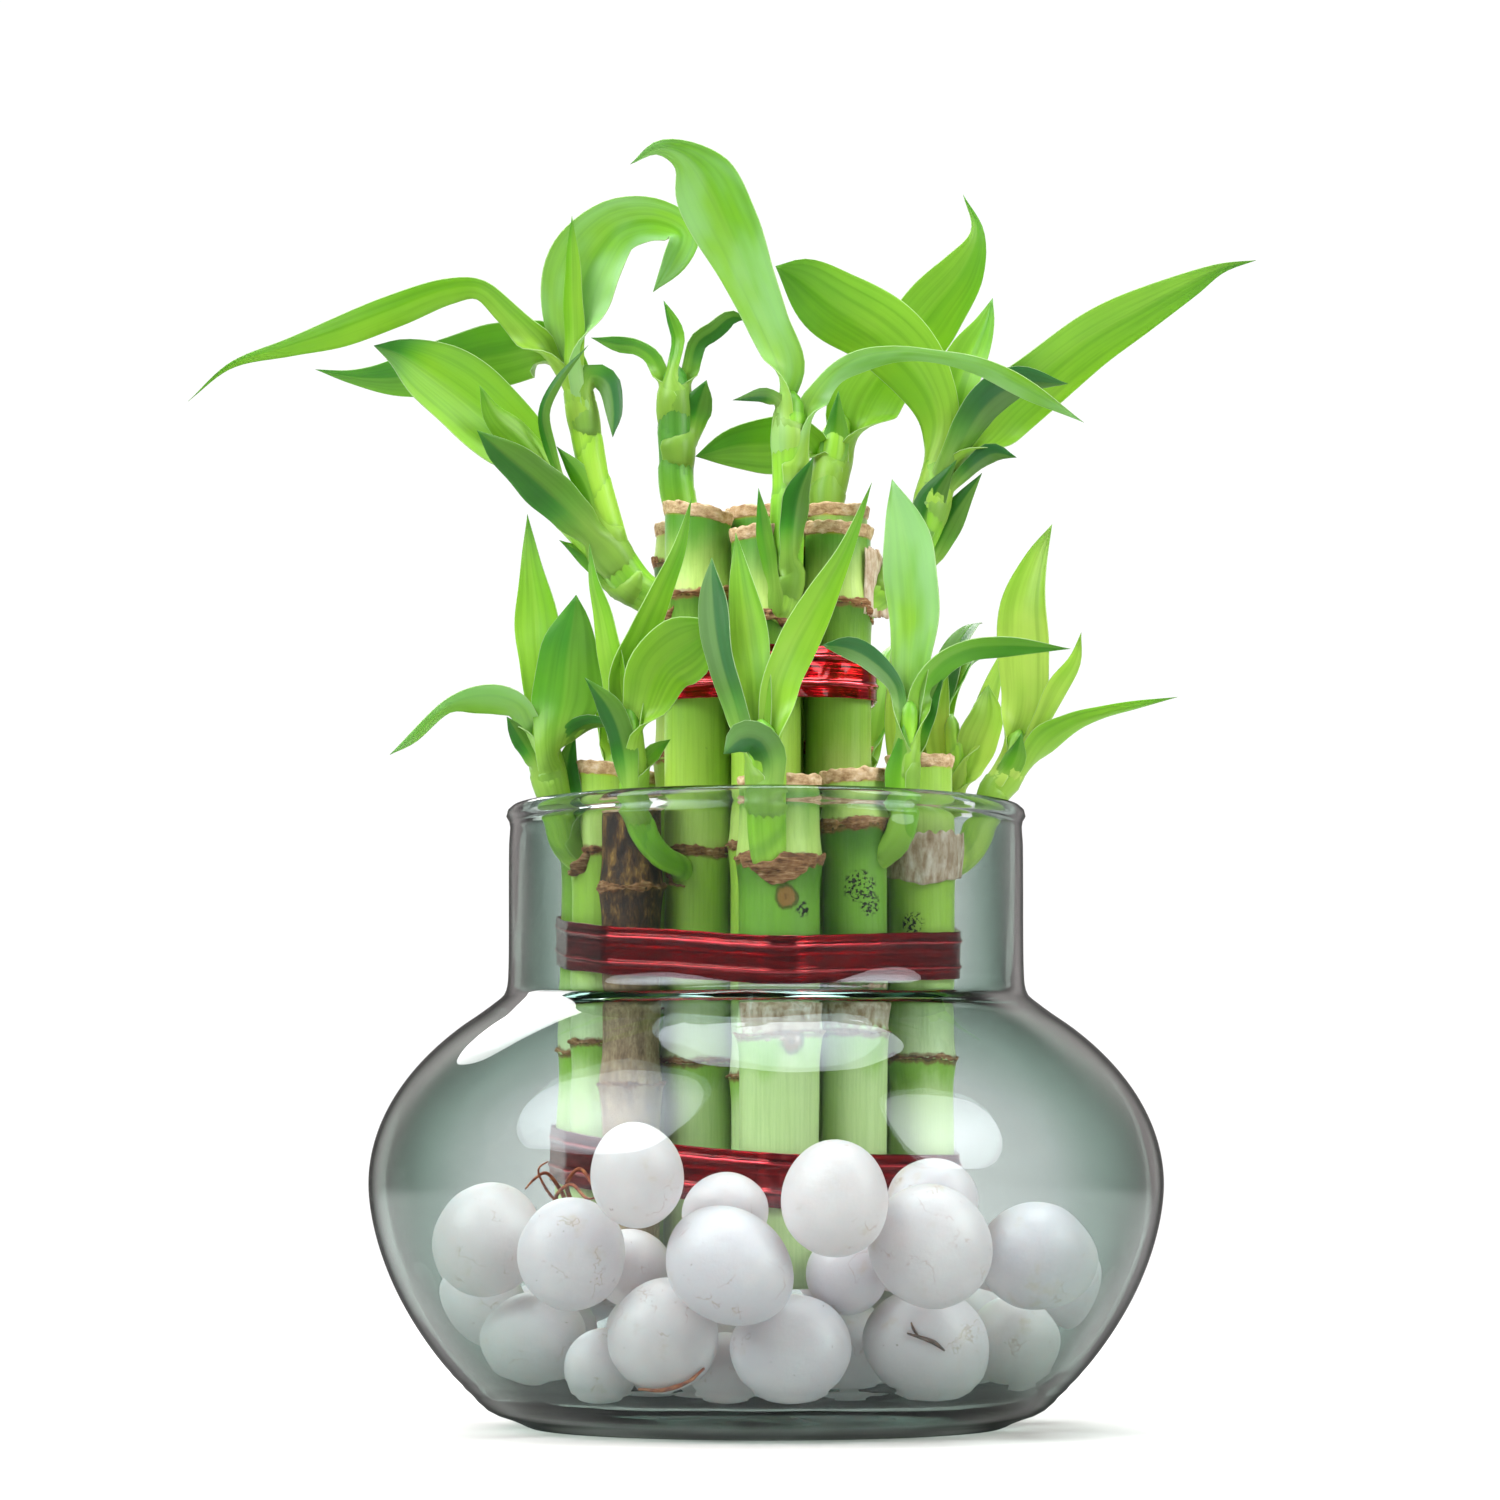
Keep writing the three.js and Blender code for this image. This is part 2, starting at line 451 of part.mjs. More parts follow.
function stemGeometry(line) {
  const spots = stations(line, STEM.stationEvery, STEM.mostStations);
  const rings = spots.map(({ centre, along, width }) => {
    const side = along.clone().cross(new THREE.Vector3(0, 1, 0)).normalize();
    const front = along.clone().cross(side);
    const ring = [];
    for (let j = 0; j < STEM.sides; j++) {
      const angle = 2 * Math.PI * j / STEM.sides;
      const p = centre.clone().addScaledVector(side, width * Math.cos(angle));
      ring.push(p.addScaledVector(front, width * Math.sin(angle)));
    }
    return ring;
  });
  return loft(rings);
}

// Blade: a thin folded section of four corners, left edge, face, right edge and back, along the midrib
function bladeGeometry(spots, facing, roll) {
  const rings = spots.map(({ centre, along, width }, i) => {
    if (i === spots.length - 1) {
      return [centre];
    }
    const left = along.clone().cross(facing(centre)).normalize().applyAxisAngle(along, -roll);
    const face = along.clone().cross(left);
    const full = width / Math.cos(roll);
    const across = full * Math.sin(LEAF.fold) / LEAF.fold;
    const lift = full * (1 - Math.cos(LEAF.fold)) / LEAF.fold;
    const half = LEAF.thickness / 2;
    return [
      centre.clone().addScaledVector(left, across).addScaledVector(face, lift),
      centre.clone().addScaledVector(face, half),
      centre.clone().addScaledVector(left, -across).addScaledVector(face, lift),
      centre.clone().addScaledVector(face, -half),
    ];
  });
  return loft(rings);
}

function drawnShoot(lines) {
  const fromEye = (point) => point.clone().sub(EYE).normalize();
  return lines.map((line) => {
    if (line[0] === 'stem') {
      return stemGeometry(line);
    }
    const spots = stations(line, LEAF.stationEvery, LEAF.mostStations);
    return bladeGeometry(spots, fromEye, THREE.MathUtils.degToRad(line[3]));
  });
}

// Shoot by rule: a short stem that leans out, and leaves fanned about its azimuth that rise and arch over
function backShoot(cane, [, foot, azimuth, reach, rise, count, seed]) {
  const draw = draws(seed);
  const outward = (degrees) => {
    const angle = THREE.MathUtils.degToRad(degrees);
    return new THREE.Vector3(Math.cos(angle), Math.sin(angle), 0);
  };
  const out = outward(azimuth);
  const start = new THREE.Vector3(cane[0], cane[1], foot).addScaledVector(out, cane[2] - 2);
  const end = start.clone().addScaledVector(out, BACK.lean);
  end.z += BACK.stemLength;
  const stemRings = [0, 0.5, 1].map((t) => {
    const ring = [];
    for (let j = 0; j < STEM.sides; j++) {
      const angle = 2 * Math.PI * j / STEM.sides;
      const p = start.clone().lerp(end, t);
      const radius = BACK.stemRadius * (1 - BACK.stemTaper * t);
      p.x += radius * Math.cos(angle);
      p.y += radius * Math.sin(angle);
      ring.push(p);
    }
    return ring;
  });
  const pieces = [loft(stemRings)];
  for (let i = 0; i < count; i++) {
    const turn = count > 1 ? 2 * i / (count - 1) - 1 : 0;
    const way = outward(azimuth + BACK.spread * turn);
    const far = reach * (0.45 + 0.5 * draw());
    const high = (rise - BACK.stemLength) * (0.75 + 0.25 * draw());
    const root = start.clone().lerp(end, 0.72 + 0.07 * i);
    const spots = [0, 0.3, 0.65, 1].map((t) => {
      const centre = root.clone().addScaledVector(way, far * t ** 1.4);
      centre.z += BACK.arch * high * (t - t ** 3 / 3);
      const along = way.clone().multiplyScalar(1.4 * far * Math.max(t, 0.05) ** 0.4);
      along.z = BACK.arch * high * (1 - t ** 2);
      const width = BACK.halfWidth * (0.5 + 1.9 * t - 2.4 * t ** 2);
      return { centre, along: along.normalize(), width };
    });
    pieces.push(bladeGeometry(spots, () => new THREE.Vector3(0, 0, -1), 0));
  }
  return pieces;
}

// Convex outline round circles, anticlockwise, as points [x, y] at a distance outside the circles
function outlineRound(circles, distance) {
  const points = [];
  for (const [x, y, r] of circles) {
    for (let turn = 0; turn < 360; turn += RIBBON.cornerStep) {
      const angle = THREE.MathUtils.degToRad(turn);
      const reach = (r + distance) / Math.cos(THREE.MathUtils.degToRad(RIBBON.cornerStep / 2));
      points.push([x + reach * Math.cos(angle), y + reach * Math.sin(angle)]);
    }
  }
  points.sort((p, q) => p[0] - q[0] || p[1] - q[1]);
  const turnOf = (o, p, q) => (p[0] - o[0]) * (q[1] - o[1]) - (p[1] - o[1]) * (q[0] - o[0]);
  const chain = (list) => {
    const hull = [];
    for (const p of list) {
      while (hull.length > 1 && turnOf(hull.at(-2), hull.at(-1), p) <= 1e-6) {
        hull.pop();
      }
      hull.push(p);
    }
    return hull.slice(0, -1);
  };
  return [...chain(points), ...chain(points.reverse())];
}

// The band slopes with x and y, as a ribbon slips down where the bundle swells
function ribbonGeometry(canes, { foot, slopeX, slopeY }) {
  const inner = outlineRound(canes, SCAR.proud + GAP);
  const outer = outlineRound(canes, SCAR.proud + GAP + RIBBON.thickness);
  const shape = new THREE.Shape(outer.map(([x, y]) => new THREE.Vector2(x, y)));
  shape.holes.push(new THREE.Path(inner.reverse().map(([x, y]) => new THREE.Vector2(x, y))));
  const band = new THREE.ExtrudeGeometry(shape, { depth: RIBBON.width, bevelEnabled: false });
  const slope = new THREE.Matrix4().set(1, 0, 0, 0, 0, 1, 0, 0, slopeX, slopeY, 1, foot, 0, 0, 0, 1);
  return band.applyMatrix4(slope);
}

// Distance from a pebble's centre to the plane that touches it on the side that a unit vector points to
function support(pebble, way) {
  const linear = new THREE.Matrix3().setFromMatrix4(pebble.shape);
  return way.clone().applyMatrix3(linear.transpose()).length();
}

function touchPoint(pebble, way) {
  const linear = new THREE.Matrix3().setFromMatrix4(pebble.shape);
  const inside = way.clone().applyMatrix3(linear.clone().transpose());
  return inside.normalize().applyMatrix3(linear).add(pebble.centre);
}

// Pebble: a centre, and a matrix that turns a unit ball into its own rounded shape
function makePebble(centre, half, turn, held) {
  const shape = new THREE.Matrix4().makeRotationFromEuler(turn).scale(half);
  return { centre, shape, reach: Math.max(half.x, half.y, half.z), home: centre.clone(), held };
}

function startingPebbles() {
  const draw = draws(5);
  const pebbles = FRONT_PEBBLES.map(([x, z, wide, high, tilt, row]) => {
    const deep = PEBBLE.depthRatio * (wide + high) / 2;
    const reach = innerRadius(z) - deep - 1 - row * 2 * deep;
    const depth = -Math.sqrt(Math.max(reach ** 2 - x ** 2, NEAREST_DEPTH ** 2));
    const nearness = (depth - EYE.y) / -EYE.y;
    const half = new THREE.Vector3(wide, deep, high).multiplyScalar(nearness);
    const turn = new THREE.Euler(0, THREE.MathUtils.degToRad(-tilt), 0);
    return makePebble(sighted(x, z, depth), half, turn, true);
  });
  for (const row of [...BACK_ROWS, UNDER_ROW]) {
    for (let i = 0; i < row.count; i++) {
      const angle = THREE.MathUtils.degToRad(row.from + (row.to - row.from) * i / (row.count - 1));
      const centre = new THREE.Vector3(row.radius * Math.cos(angle), row.radius * Math.sin(angle), row.height);
      const half = new THREE.Vector3(row.size * (0.94 + 0.16 * draw()), row.size * (0.88 + 0.1 * draw()),
        row.size * (row === UNDER_ROW ? 1 : 0.86 + 0.12 * draw()));
      const turn = new THREE.Euler(0, 0, 2 * Math.PI * draw());
      pebbles.push(makePebble(centre, half, turn, row === UNDER_ROW));
    }
  }
  return pebbles;
}

// Clear distance from pebble p to pebble q, less than zero where they overlap, and the unit vector from p
// to q along which it is found: the one whose two touching planes lie furthest apart
function clearance(p, q) {
  const between = q.centre.clone().sub(p.centre);
  const way = between.clone().normalize();
  for (let round = 0; round < PEBBLE.searches; round++) {
    const slip = touchPoint(q, way.clone().negate()).sub(touchPoint(p, way));
    way.addScaledVector(slip, 1 / between.length()).normalize();
  }
  return { way, clear: between.dot(way) - support(p, way) - support(q, way) };
}

function keepPairApart(p, q) {
  if (p.centre.distanceTo(q.centre) > p.reach + q.reach + PEBBLE.gap) {
    return;
  }
  const { way, clear } = clearance(p, q);
  const overlap = PEBBLE.gap - clear;
  if (overlap > 0) {
    const ease = (pebble) => (pebble.held ? PEBBLE.heavy : 1);
    const share = ease(p) / (ease(p) + ease(q));
    p.centre.addScaledVector(way, -overlap * share);
    q.centre.addScaledVector(way, overlap * (1 - share));
  }
}

function keepInBowl(pebble) {
  const flat = new THREE.Vector3(pebble.centre.x, pebble.centre.y, 0).normalize();
  for (let pass = 0; pass < 2; pass++) {
    const level = touchPoint(pebble, flat).z;
    const slope = innerRadius(level + 0.5) - innerRadius(level - 0.5);
    const way = flat.clone().setZ(-slope).normalize();
    const touch = touchPoint(pebble, way);
    const room = innerRadius(Math.max(touch.z, 8)) - GAP - PEBBLE.spareGlass;
    const over = (Math.hypot(touch.x, touch.y) - room) * flat.dot(way);
    if (over > 0) {
      pebble.centre.addScaledVector(way, -over);
    }
  }
  const lowest = pebble.centre.z - support(pebble, new THREE.Vector3(0, 0, 1));
  const floor = BOWL.floor + GAP + Math.max(0, (Math.hypot(pebble.centre.x, pebble.centre.y) - 36) / 12);
  pebble.centre.z += Math.max(0, floor - lowest);
}

// The tied canes are one convex column to a pebble beside them, and a ceiling to one beneath them
function keepOffCanes(pebble, column) {
  const up = new THREE.Vector3(0, 0, 1);
  const overhead = pebble.centre.z + support(pebble, up) + GAP - CANE_FOOT;
  if (overhead <= 0) {
    return;
  }
  let best = -Infinity;
  let way = null;
  for (let i = 0; i < column.length; i++) {
    const [x0, y0] = column[i];
    const [x1, y1] = column[(i + 1) % column.length];
    const normal = new THREE.Vector3(y1 - y0, x0 - x1, 0).normalize();
    const clear = (pebble.centre.x - x0) * normal.x + (pebble.centre.y - y0) * normal.y - support(pebble, normal);
    if (clear > best) {
      best = clear;
      way = normal;
    }
  }
  const inside = GAP - best;
  if (inside > 0 && inside < overhead) {
    pebble.centre.addScaledVector(way, inside);
  } else if (inside > 0) {
    pebble.centre.z -= overhead;
  }
}

// Pebbles poured in: they sink and drift to their drawn places, and are pushed off whatever they meet
function settledPebbles() {
  const pebbles = startingPebbles();
  const column = outlineRound(SHORT_CANES, SCAR.proud + GAP + RIBBON.thickness);
  for (let step = 0; step < PEBBLE.steps; step++) {
    const calm = 1 - step / PEBBLE.steps;
    for (const pebble of pebbles) {
      if (pebble.held) {
        pebble.centre.x += (pebble.home.x - pebble.centre.x) * PEBBLE.homing * calm;
        pebble.centre.z += (pebble.home.z - pebble.centre.z) * PEBBLE.homing * calm;
      }
      pebble.centre.y += (pebble.home.y - pebble.centre.y) * PEBBLE.homing * calm * 0.1;
      pebble.centre.z -= PEBBLE.settle * calm;
    }
    for (let pass = 0; pass < 3; pass++) {
      for (let i = 0; i < pebbles.length; i++) {
        for (let j = i + 1; j < pebbles.length; j++) {
          keepPairApart(pebbles[i], pebbles[j]);
        }
      }
      for (const pebble of pebbles) {
        keepOffCanes(pebble, column);
        keepInBowl(pebble);
      }
    }
  }
  return pebbles;
}

function pebbleGeometry(pebble) {
  const geometry = new THREE.IcosahedronGeometry(1, 1);
  geometry.deleteAttribute('normal');
  geometry.deleteAttribute('uv');
  geometry.applyMatrix4(pebble.shape);
  geometry.translate(pebble.centre.x, pebble.centre.y, pebble.centre.z);
  return mergeVertices(geometry, 1e-4);
}

function backShootOf(kind, cane, number) {
  const lines = kind === 'tall' ? [BACK_TALL_SHOOT] : BACK_SHOOTS;
  const line = lines.find((entry) => entry[0] === number);
  return line ? backShoot(cane, line) : [];
}

function addCanes(kind, canes, shoots) {
  canes.forEach((cane, number) => {
    const grown = drawnShoot(shoots[number] ?? []);
    const geometry = fuse([caneGeometry(cane), ...grown, ...backShootOf(kind, cane, number)]);
    const dead = kind === 'short' && number === 2;
    addPiece(`cane_${kind}_${String(number).padStart(2, '0')}`, geometry, dead ? 'deadCane' : 'cane');
  });
}

addPiece('glass_bowl', bowlGeometry(), 'glass');
addCanes('tall', TALL_CANES, TALL_SHOOTS);
addCanes('short', SHORT_CANES, SHORT_SHOOTS);
addPiece('ribbon_upper', ribbonGeometry(TALL_CANES, RIBBONS.upper), 'foil');
addPiece('ribbon_middle', ribbonGeometry(SHORT_CANES, RIBBONS.middle), 'foil');
addPiece('ribbon_lower', ribbonGeometry(SHORT_CANES, RIBBONS.lower), 'foil');
settledPebbles().forEach((pebble, number) => {
  addPiece(`pebble_${String(number).padStart(2, '0')}`, pebbleGeometry(pebble), 'pebble');
});

export default plant;
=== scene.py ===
# Lucky bamboo: two tiers of tied canes with leafy shoots, on white pebbles in a clear glass bowl.
# Shapes are worked out in millimetres and go into the meshes in metres. +Z is up and the front faces -Y.
import math

import bpy
import numpy as np
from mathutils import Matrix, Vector


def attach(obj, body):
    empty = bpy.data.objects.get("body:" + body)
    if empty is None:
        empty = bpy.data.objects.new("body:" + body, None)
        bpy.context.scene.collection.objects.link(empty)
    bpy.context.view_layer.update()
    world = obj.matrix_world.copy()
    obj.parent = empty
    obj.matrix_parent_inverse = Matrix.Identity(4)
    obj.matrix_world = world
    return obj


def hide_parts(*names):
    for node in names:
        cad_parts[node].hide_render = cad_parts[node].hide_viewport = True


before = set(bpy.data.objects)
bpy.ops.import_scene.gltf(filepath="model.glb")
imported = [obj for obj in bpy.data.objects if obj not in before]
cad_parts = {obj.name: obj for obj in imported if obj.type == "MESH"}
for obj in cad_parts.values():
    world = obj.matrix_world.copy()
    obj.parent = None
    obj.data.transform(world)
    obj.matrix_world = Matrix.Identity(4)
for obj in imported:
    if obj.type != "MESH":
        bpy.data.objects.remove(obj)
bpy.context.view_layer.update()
print("frame loaded with", len(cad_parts), "nodes")

metresPerMm = 0.001

# The eye that the plant is drawn for, the point it looks at, and where that point lies on the drawing
eye = np.array([-3.0, -795.0, 45.0])
aim = np.array([-3.0, 0.0, 126.3])
drawnMiddle = np.array([-3.0, 130.2])
pixelsPerMm = 5.3


# Colour code to the linear values that a socket takes
def hexToLinear(code):
    channels = np.array([int(code[i:i + 2], 16) for i in (1, 3, 5)]) / 255
    linear = np.where(channels <= 0.04045, channels / 12.92, ((channels + 0.055) / 1.055) ** 2.4)
    return (*linear.tolist(), 1.0)


# A node with its settings, and its inputs: a socket to link from, or a value
def addNode(tree, kind, settings=None, inputs=None):
    node = tree.nodes.new("ShaderNode" + kind)
    for name, value in (settings or {}).items():
        setattr(node, name, value)
    for name, value in (inputs or {}).items():
        if isinstance(value, bpy.types.NodeSocket):
            tree.links.new(value, node.inputs[name])
        else:
            node.inputs[name].default_value = value
    return node


def newMaterial(name):
    material = bpy.data.materials.new(name)
    material.use_nodes = True
    material.node_tree.nodes.clear()
    return material, material.node_tree


def toOutput(tree, surface, volume=None):
    output = addNode(tree, "OutputMaterial", inputs={"Surface": surface})
    if volume is not None:
        tree.links.new(volume, output.inputs["Volume"])


def math2(tree, operation, a, b=0.0, clamp=False):
    settings = {"operation": operation, "use_clamp": clamp}
    return addNode(tree, "Math", settings, {0: a, 1: b}).outputs[0]


# Straight run from 0 at one input value to 1 at another, eased at both ends
def easeStep(tree, value, start, end, most=1.0):
    inputs = {"Value": value, "From Min": start, "From Max": end, "To Min": 0.0, "To Max": most}
    return addNode(tree, "MapRange", {"interpolation_type": "SMOOTHSTEP"}, inputs).outputs[0]


def mixColour(tree, factor, a, b, blend="MIX"):
    node = addNode(tree, "Mix", {"data_type": "RGBA", "blend_type": blend, "clamp_factor": True})
    for socket, value in ((node.inputs[0], factor), (node.inputs[6], a), (node.inputs[7], b)):
        if isinstance(value, bpy.types.NodeSocket):
            tree.links.new(value, socket)
        else:
            socket.default_value = value
    return node.outputs[2]


def colourRamp(tree, factor, stops):
    node = addNode(tree, "ValToRGB", inputs={0: factor})
    marks = node.color_ramp.elements
    while len(marks) < len(stops):
        marks.new(1.0)
    for mark, (place, code) in zip(marks, stops):
        mark.position = place
        mark.color = hexToLinear(code)
    return node.outputs[0]


def noiseOf(tree, vector, stretch, scale=1.0, detail=3.0, roughness=0.55):
    mapping = addNode(tree, "Mapping", {"vector_type": "POINT"}, {"Vector": vector, "Scale": stretch})
    inputs = {"Vector": mapping.outputs[0], "Scale": scale, "Detail": detail, "Roughness": roughness}
    return addNode(tree, "TexNoise", {"noise_dimensions": "3D"}, inputs).outputs["Fac"]


def bumpOf(tree, height, distanceMm, strength=1.0):
    inputs = {"Height": height, "Distance": distanceMm * metresPerMm, "Strength": strength}
    return addNode(tree, "Bump", inputs=inputs).outputs[0]


# Where a point of the object is, in millimetres, for patterns of real size
def placeInMm(tree):
    place = addNode(tree, "TexCoord").outputs["Object"]
    scale = (1 / metresPerMm,) * 3
    return addNode(tree, "Mapping", {"vector_type": "POINT"}, {"Vector": place, "Scale": scale}).outputs[0]


# Quads between the points of a grid, row by row; a closed row also joins its last point to its first
def gridFaces(rows, columns, closed=True):
    steps = columns if closed else columns - 1
    row, column = np.meshgrid(np.arange(rows - 1), np.arange(steps), indexing="ij")
    here = row * columns + column
    beside = row * columns + (column + 1) % columns
    return np.stack([here, beside, beside + columns, here + columns], -1).reshape(-1, 4).tolist()


# One closed body from a grid whose rows close on themselves, with both end rows filled
def closedBody(grid, marks=None, material=0):
    rows, columns = grid.shape[:2]
    faces = gridFaces(rows, columns)
    faces.append(list(range(columns))[::-1])
    faces.append(list(range((rows - 1) * columns, rows * columns)))
    marks = {name: np.asarray(value).reshape(rows * columns, -1) for name, value in (marks or {}).items()}
    return {"points": grid.reshape(-1, 3), "faces": faces, "marks": marks, "material": material}


# A ring-shaped body: the grid closes both across its rows and from its last row to its first
def closedRing(grid, marks=None, material=0):
    rows, columns = grid.shape[:2]
    faces = np.array(gridFaces(rows + 1, columns)) % (rows * columns)
    marks = {name: np.asarray(value).reshape(rows * columns, -1) for name, value in (marks or {}).items()}
    return {"points": grid.reshape(-1, 3), "faces": faces.tolist(), "marks": marks, "material": material}


def linkedObject(name, data):
    made = bpy.data.objects.new(name, data)
    bpy.context.collection.objects.link(made)
    return made


# One mesh object from several bodies. A mark is a named value per point: one number, or three.
def addPiece(name, bodies, materials, nodes=()):
    points = np.concatenate([body["points"] for body in bodies])
    faces = []
    owners = []
    start = 0
    for body in bodies:
        faces += [[index + start for index in face] for face in body["faces"]]
        owners += [body["material"]] * len(body["faces"])
        start += len(body["points"])
    mesh = bpy.data.meshes.new(name)
    mesh.from_pydata(points * metresPerMm, [], faces)
    for mark in bodies[0]["marks"]:
        values = np.concatenate([body["marks"][mark] for body in bodies]).astype(np.float32)
        wide = values.shape[1] > 1
        attribute = mesh.attributes.new(mark, "FLOAT_VECTOR" if wide else "FLOAT", "POINT")
        attribute.data.foreach_set("vector" if wide else "value", values.ravel())
    for material in materials:
        mesh.materials.append(material)
    mesh.polygons.foreach_set("material_index", owners)
    mesh.polygons.foreach_set("use_smooth", [True] * len(faces))
    mesh.update()
    piece = linkedObject(name, mesh)
    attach(piece, "root")
    if nodes:
        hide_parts(*nodes)
    return piece


# Faces turned outward: where they look inward, the signed volume of the body is below nought
def facesOutward(body):
    triangles = np.array([[f[0], f[i], f[i + 1]] for f in body["faces"] for i in range(1, len(f) - 1)])
    a, b, c = (body["points"][triangles[:, i]] for i in range(3))
    if np.einsum("ij,ij->", a, np.cross(b, c)) < 0:
        body["faces"] = [face[::-1] for face in body["faces"]]
    return body


# Drawn places, with x, z and the depth behind the bowl's axis, pushed out along the eye's sight lines
def sighted(x, z, depth):
    look = aim - eye
    across = np.array([1.0, 0.0, 0.0])
    up = np.cross(across, look / np.linalg.norm(look))
    x, z, depth = (np.atleast_1d(np.asarray(v, float)) for v in (x, z, depth))
    ray = look + (x - drawnMiddle[0])[:, None] * across + (z - drawnMiddle[1])[:, None] * up
    return eye + ray * ((depth - eye[1]) / ray[:, 1])[:, None]


# Curve through knots at even steps of length. Each span is a cubic whose end slopes come from the knots
# beside it, weighed by the square roots of the spans. Columns after the third ride along.
def smoothPath(knots, count):
    knots = np.asarray(knots, float)
    ends = np.vstack([2 * knots[0] - knots[1], knots, 2 * knots[-1] - knots[-2]])
    gaps = np.maximum(np.linalg.norm(np.diff(ends[:, :3], axis=0), axis=1) ** 0.5, 1e-4)[:, None, None]
    a, b, c, d = (ends[i:len(ends) - 3 + i, None, :] for i in range(4))
    before, here, after = gaps[:-2], gaps[1:-1], gaps[2:]
    leave = ((b - a) / before - (c - a) / (before + here) + (c - b) / here) * here
    arrive = ((c - b) / here - (d - b) / (here + after) + (d - c) / after) * here
    t = np.linspace(0, 1, 24, endpoint=False)[None, :, None]
    bend = (3 * (c - b) - 2 * leave - arrive) * t ** 2
    spans = b + leave * t + bend + (2 * (b - c) + leave + arrive) * t ** 3
    dense = np.vstack([spans.reshape(-1, knots.shape[1]), knots[-1]])
    length = np.concatenate([[0], np.cumsum(np.linalg.norm(np.diff(dense[:, :3], axis=0), axis=1))])
    even = np.linspace(0, length[-1], count)
    return np.stack([np.interp(even, length, column) for column in dense.T], 1), length[-1]


def unit(vectors):
    return vectors / np.maximum(np.linalg.norm(vectors, axis=-1, keepdims=True), 1e-9)


def eased(value, start, end):
    t = np.clip((value - start) / (end - start), 0, 1)
    return t * t * (3 - 2 * t)


# Even headings once round, without the first one again at the end
def fullTurn(count):
    return np.linspace(0, 2 * math.pi, count, endpoint=False)


# Points about an upright axis at x and y, from their reach, heading and height
def turned(x, y, reach, turn, height):
    return np.stack(np.broadcast_arrays(x + reach * np.cos(turn), y + reach * np.sin(turn), height), -1)


# Uneven line round a closed turn: a few whole waves with their own heights and starts
def unevenTurn(turn, seed, waves):
    draw = np.random.default_rng(seed)
    total = np.zeros_like(turn)
    for wave in waves:
        total = total + draw.uniform(0.4, 1.0) * np.sin(wave * turn + draw.uniform(0, 2 * math.pi)) / len(waves)
    return total


# Soft lumps in space: waves in several random directions, added up
def lumps(points, seed, sizeMm, count=5):
    draw = np.random.default_rng(seed)
    total = 0
    for i in range(count):
        way = unit(draw.normal(size=3))
        pace = 2 * math.pi / (sizeMm * draw.uniform(0.7, 1.4))
        total = total + np.sin(points @ way * pace + draw.uniform(0, 6.28))
    return total / count


bowl = {
    "bulbRadius": 74.0, "bulbHeight": 45.0, "upperRise": 45.5, "lowerRise": 61.0, "lowerPower": 1.76,
    "neckRadius": 48.3, "rimTop": 115.4, "wall": 2.5, "gather": 2.5, "floor": 5.0,
    "rimBead": 1.7, "ripple": 0.14, "around": 192, "along": 330,
    # Ramps from facing to grazing: the pale middle is the glass's own tint; their dark grazing ends and the edge
    # colour are painted shade
    "tintAndEdgeShade": [(0.0, "#dde2e2"), (0.3, "#c4cccb"), (0.5, "#97aaa2"), (0.7, "#4e655a"), (1.0, "#1f2b27")],
    "gleamAndEdgeShade": [(0.0, "#e4e6ee"), (0.35, "#cdd3da"), (0.55, "#8b9795"), (0.72, "#46524e"), (1.0, "#1c2623")],
    "depthTint": "#7fb3a6", "depthDensity": 36.0, "seenThrough": "#fbfdfc", "edge": "#1b3528",
}


# Outer radius at a height: two half ovals that meet at the widest level
def bulbRadius(z):
    above = z > bowl["bulbHeight"]
    share = np.abs(z - bowl["bulbHeight"]) / np.where(above, bowl["upperRise"], bowl["lowerRise"])
    return bowl["bulbRadius"] * np.sqrt(np.maximum(0, 1 - share ** np.where(above, 2, bowl["lowerPower"])))


# Inner radius: the wall grows thicker toward the foot, and stays clear of the neck
def innerRadius(z):
    low = np.maximum(0, 1 - z / bowl["bulbHeight"])
    inner = bulbRadius(z) - bowl["wall"] - bowl["gather"] * low ** 2
    return np.maximum(inner, bowl["neckRadius"] - bowl["wall"])


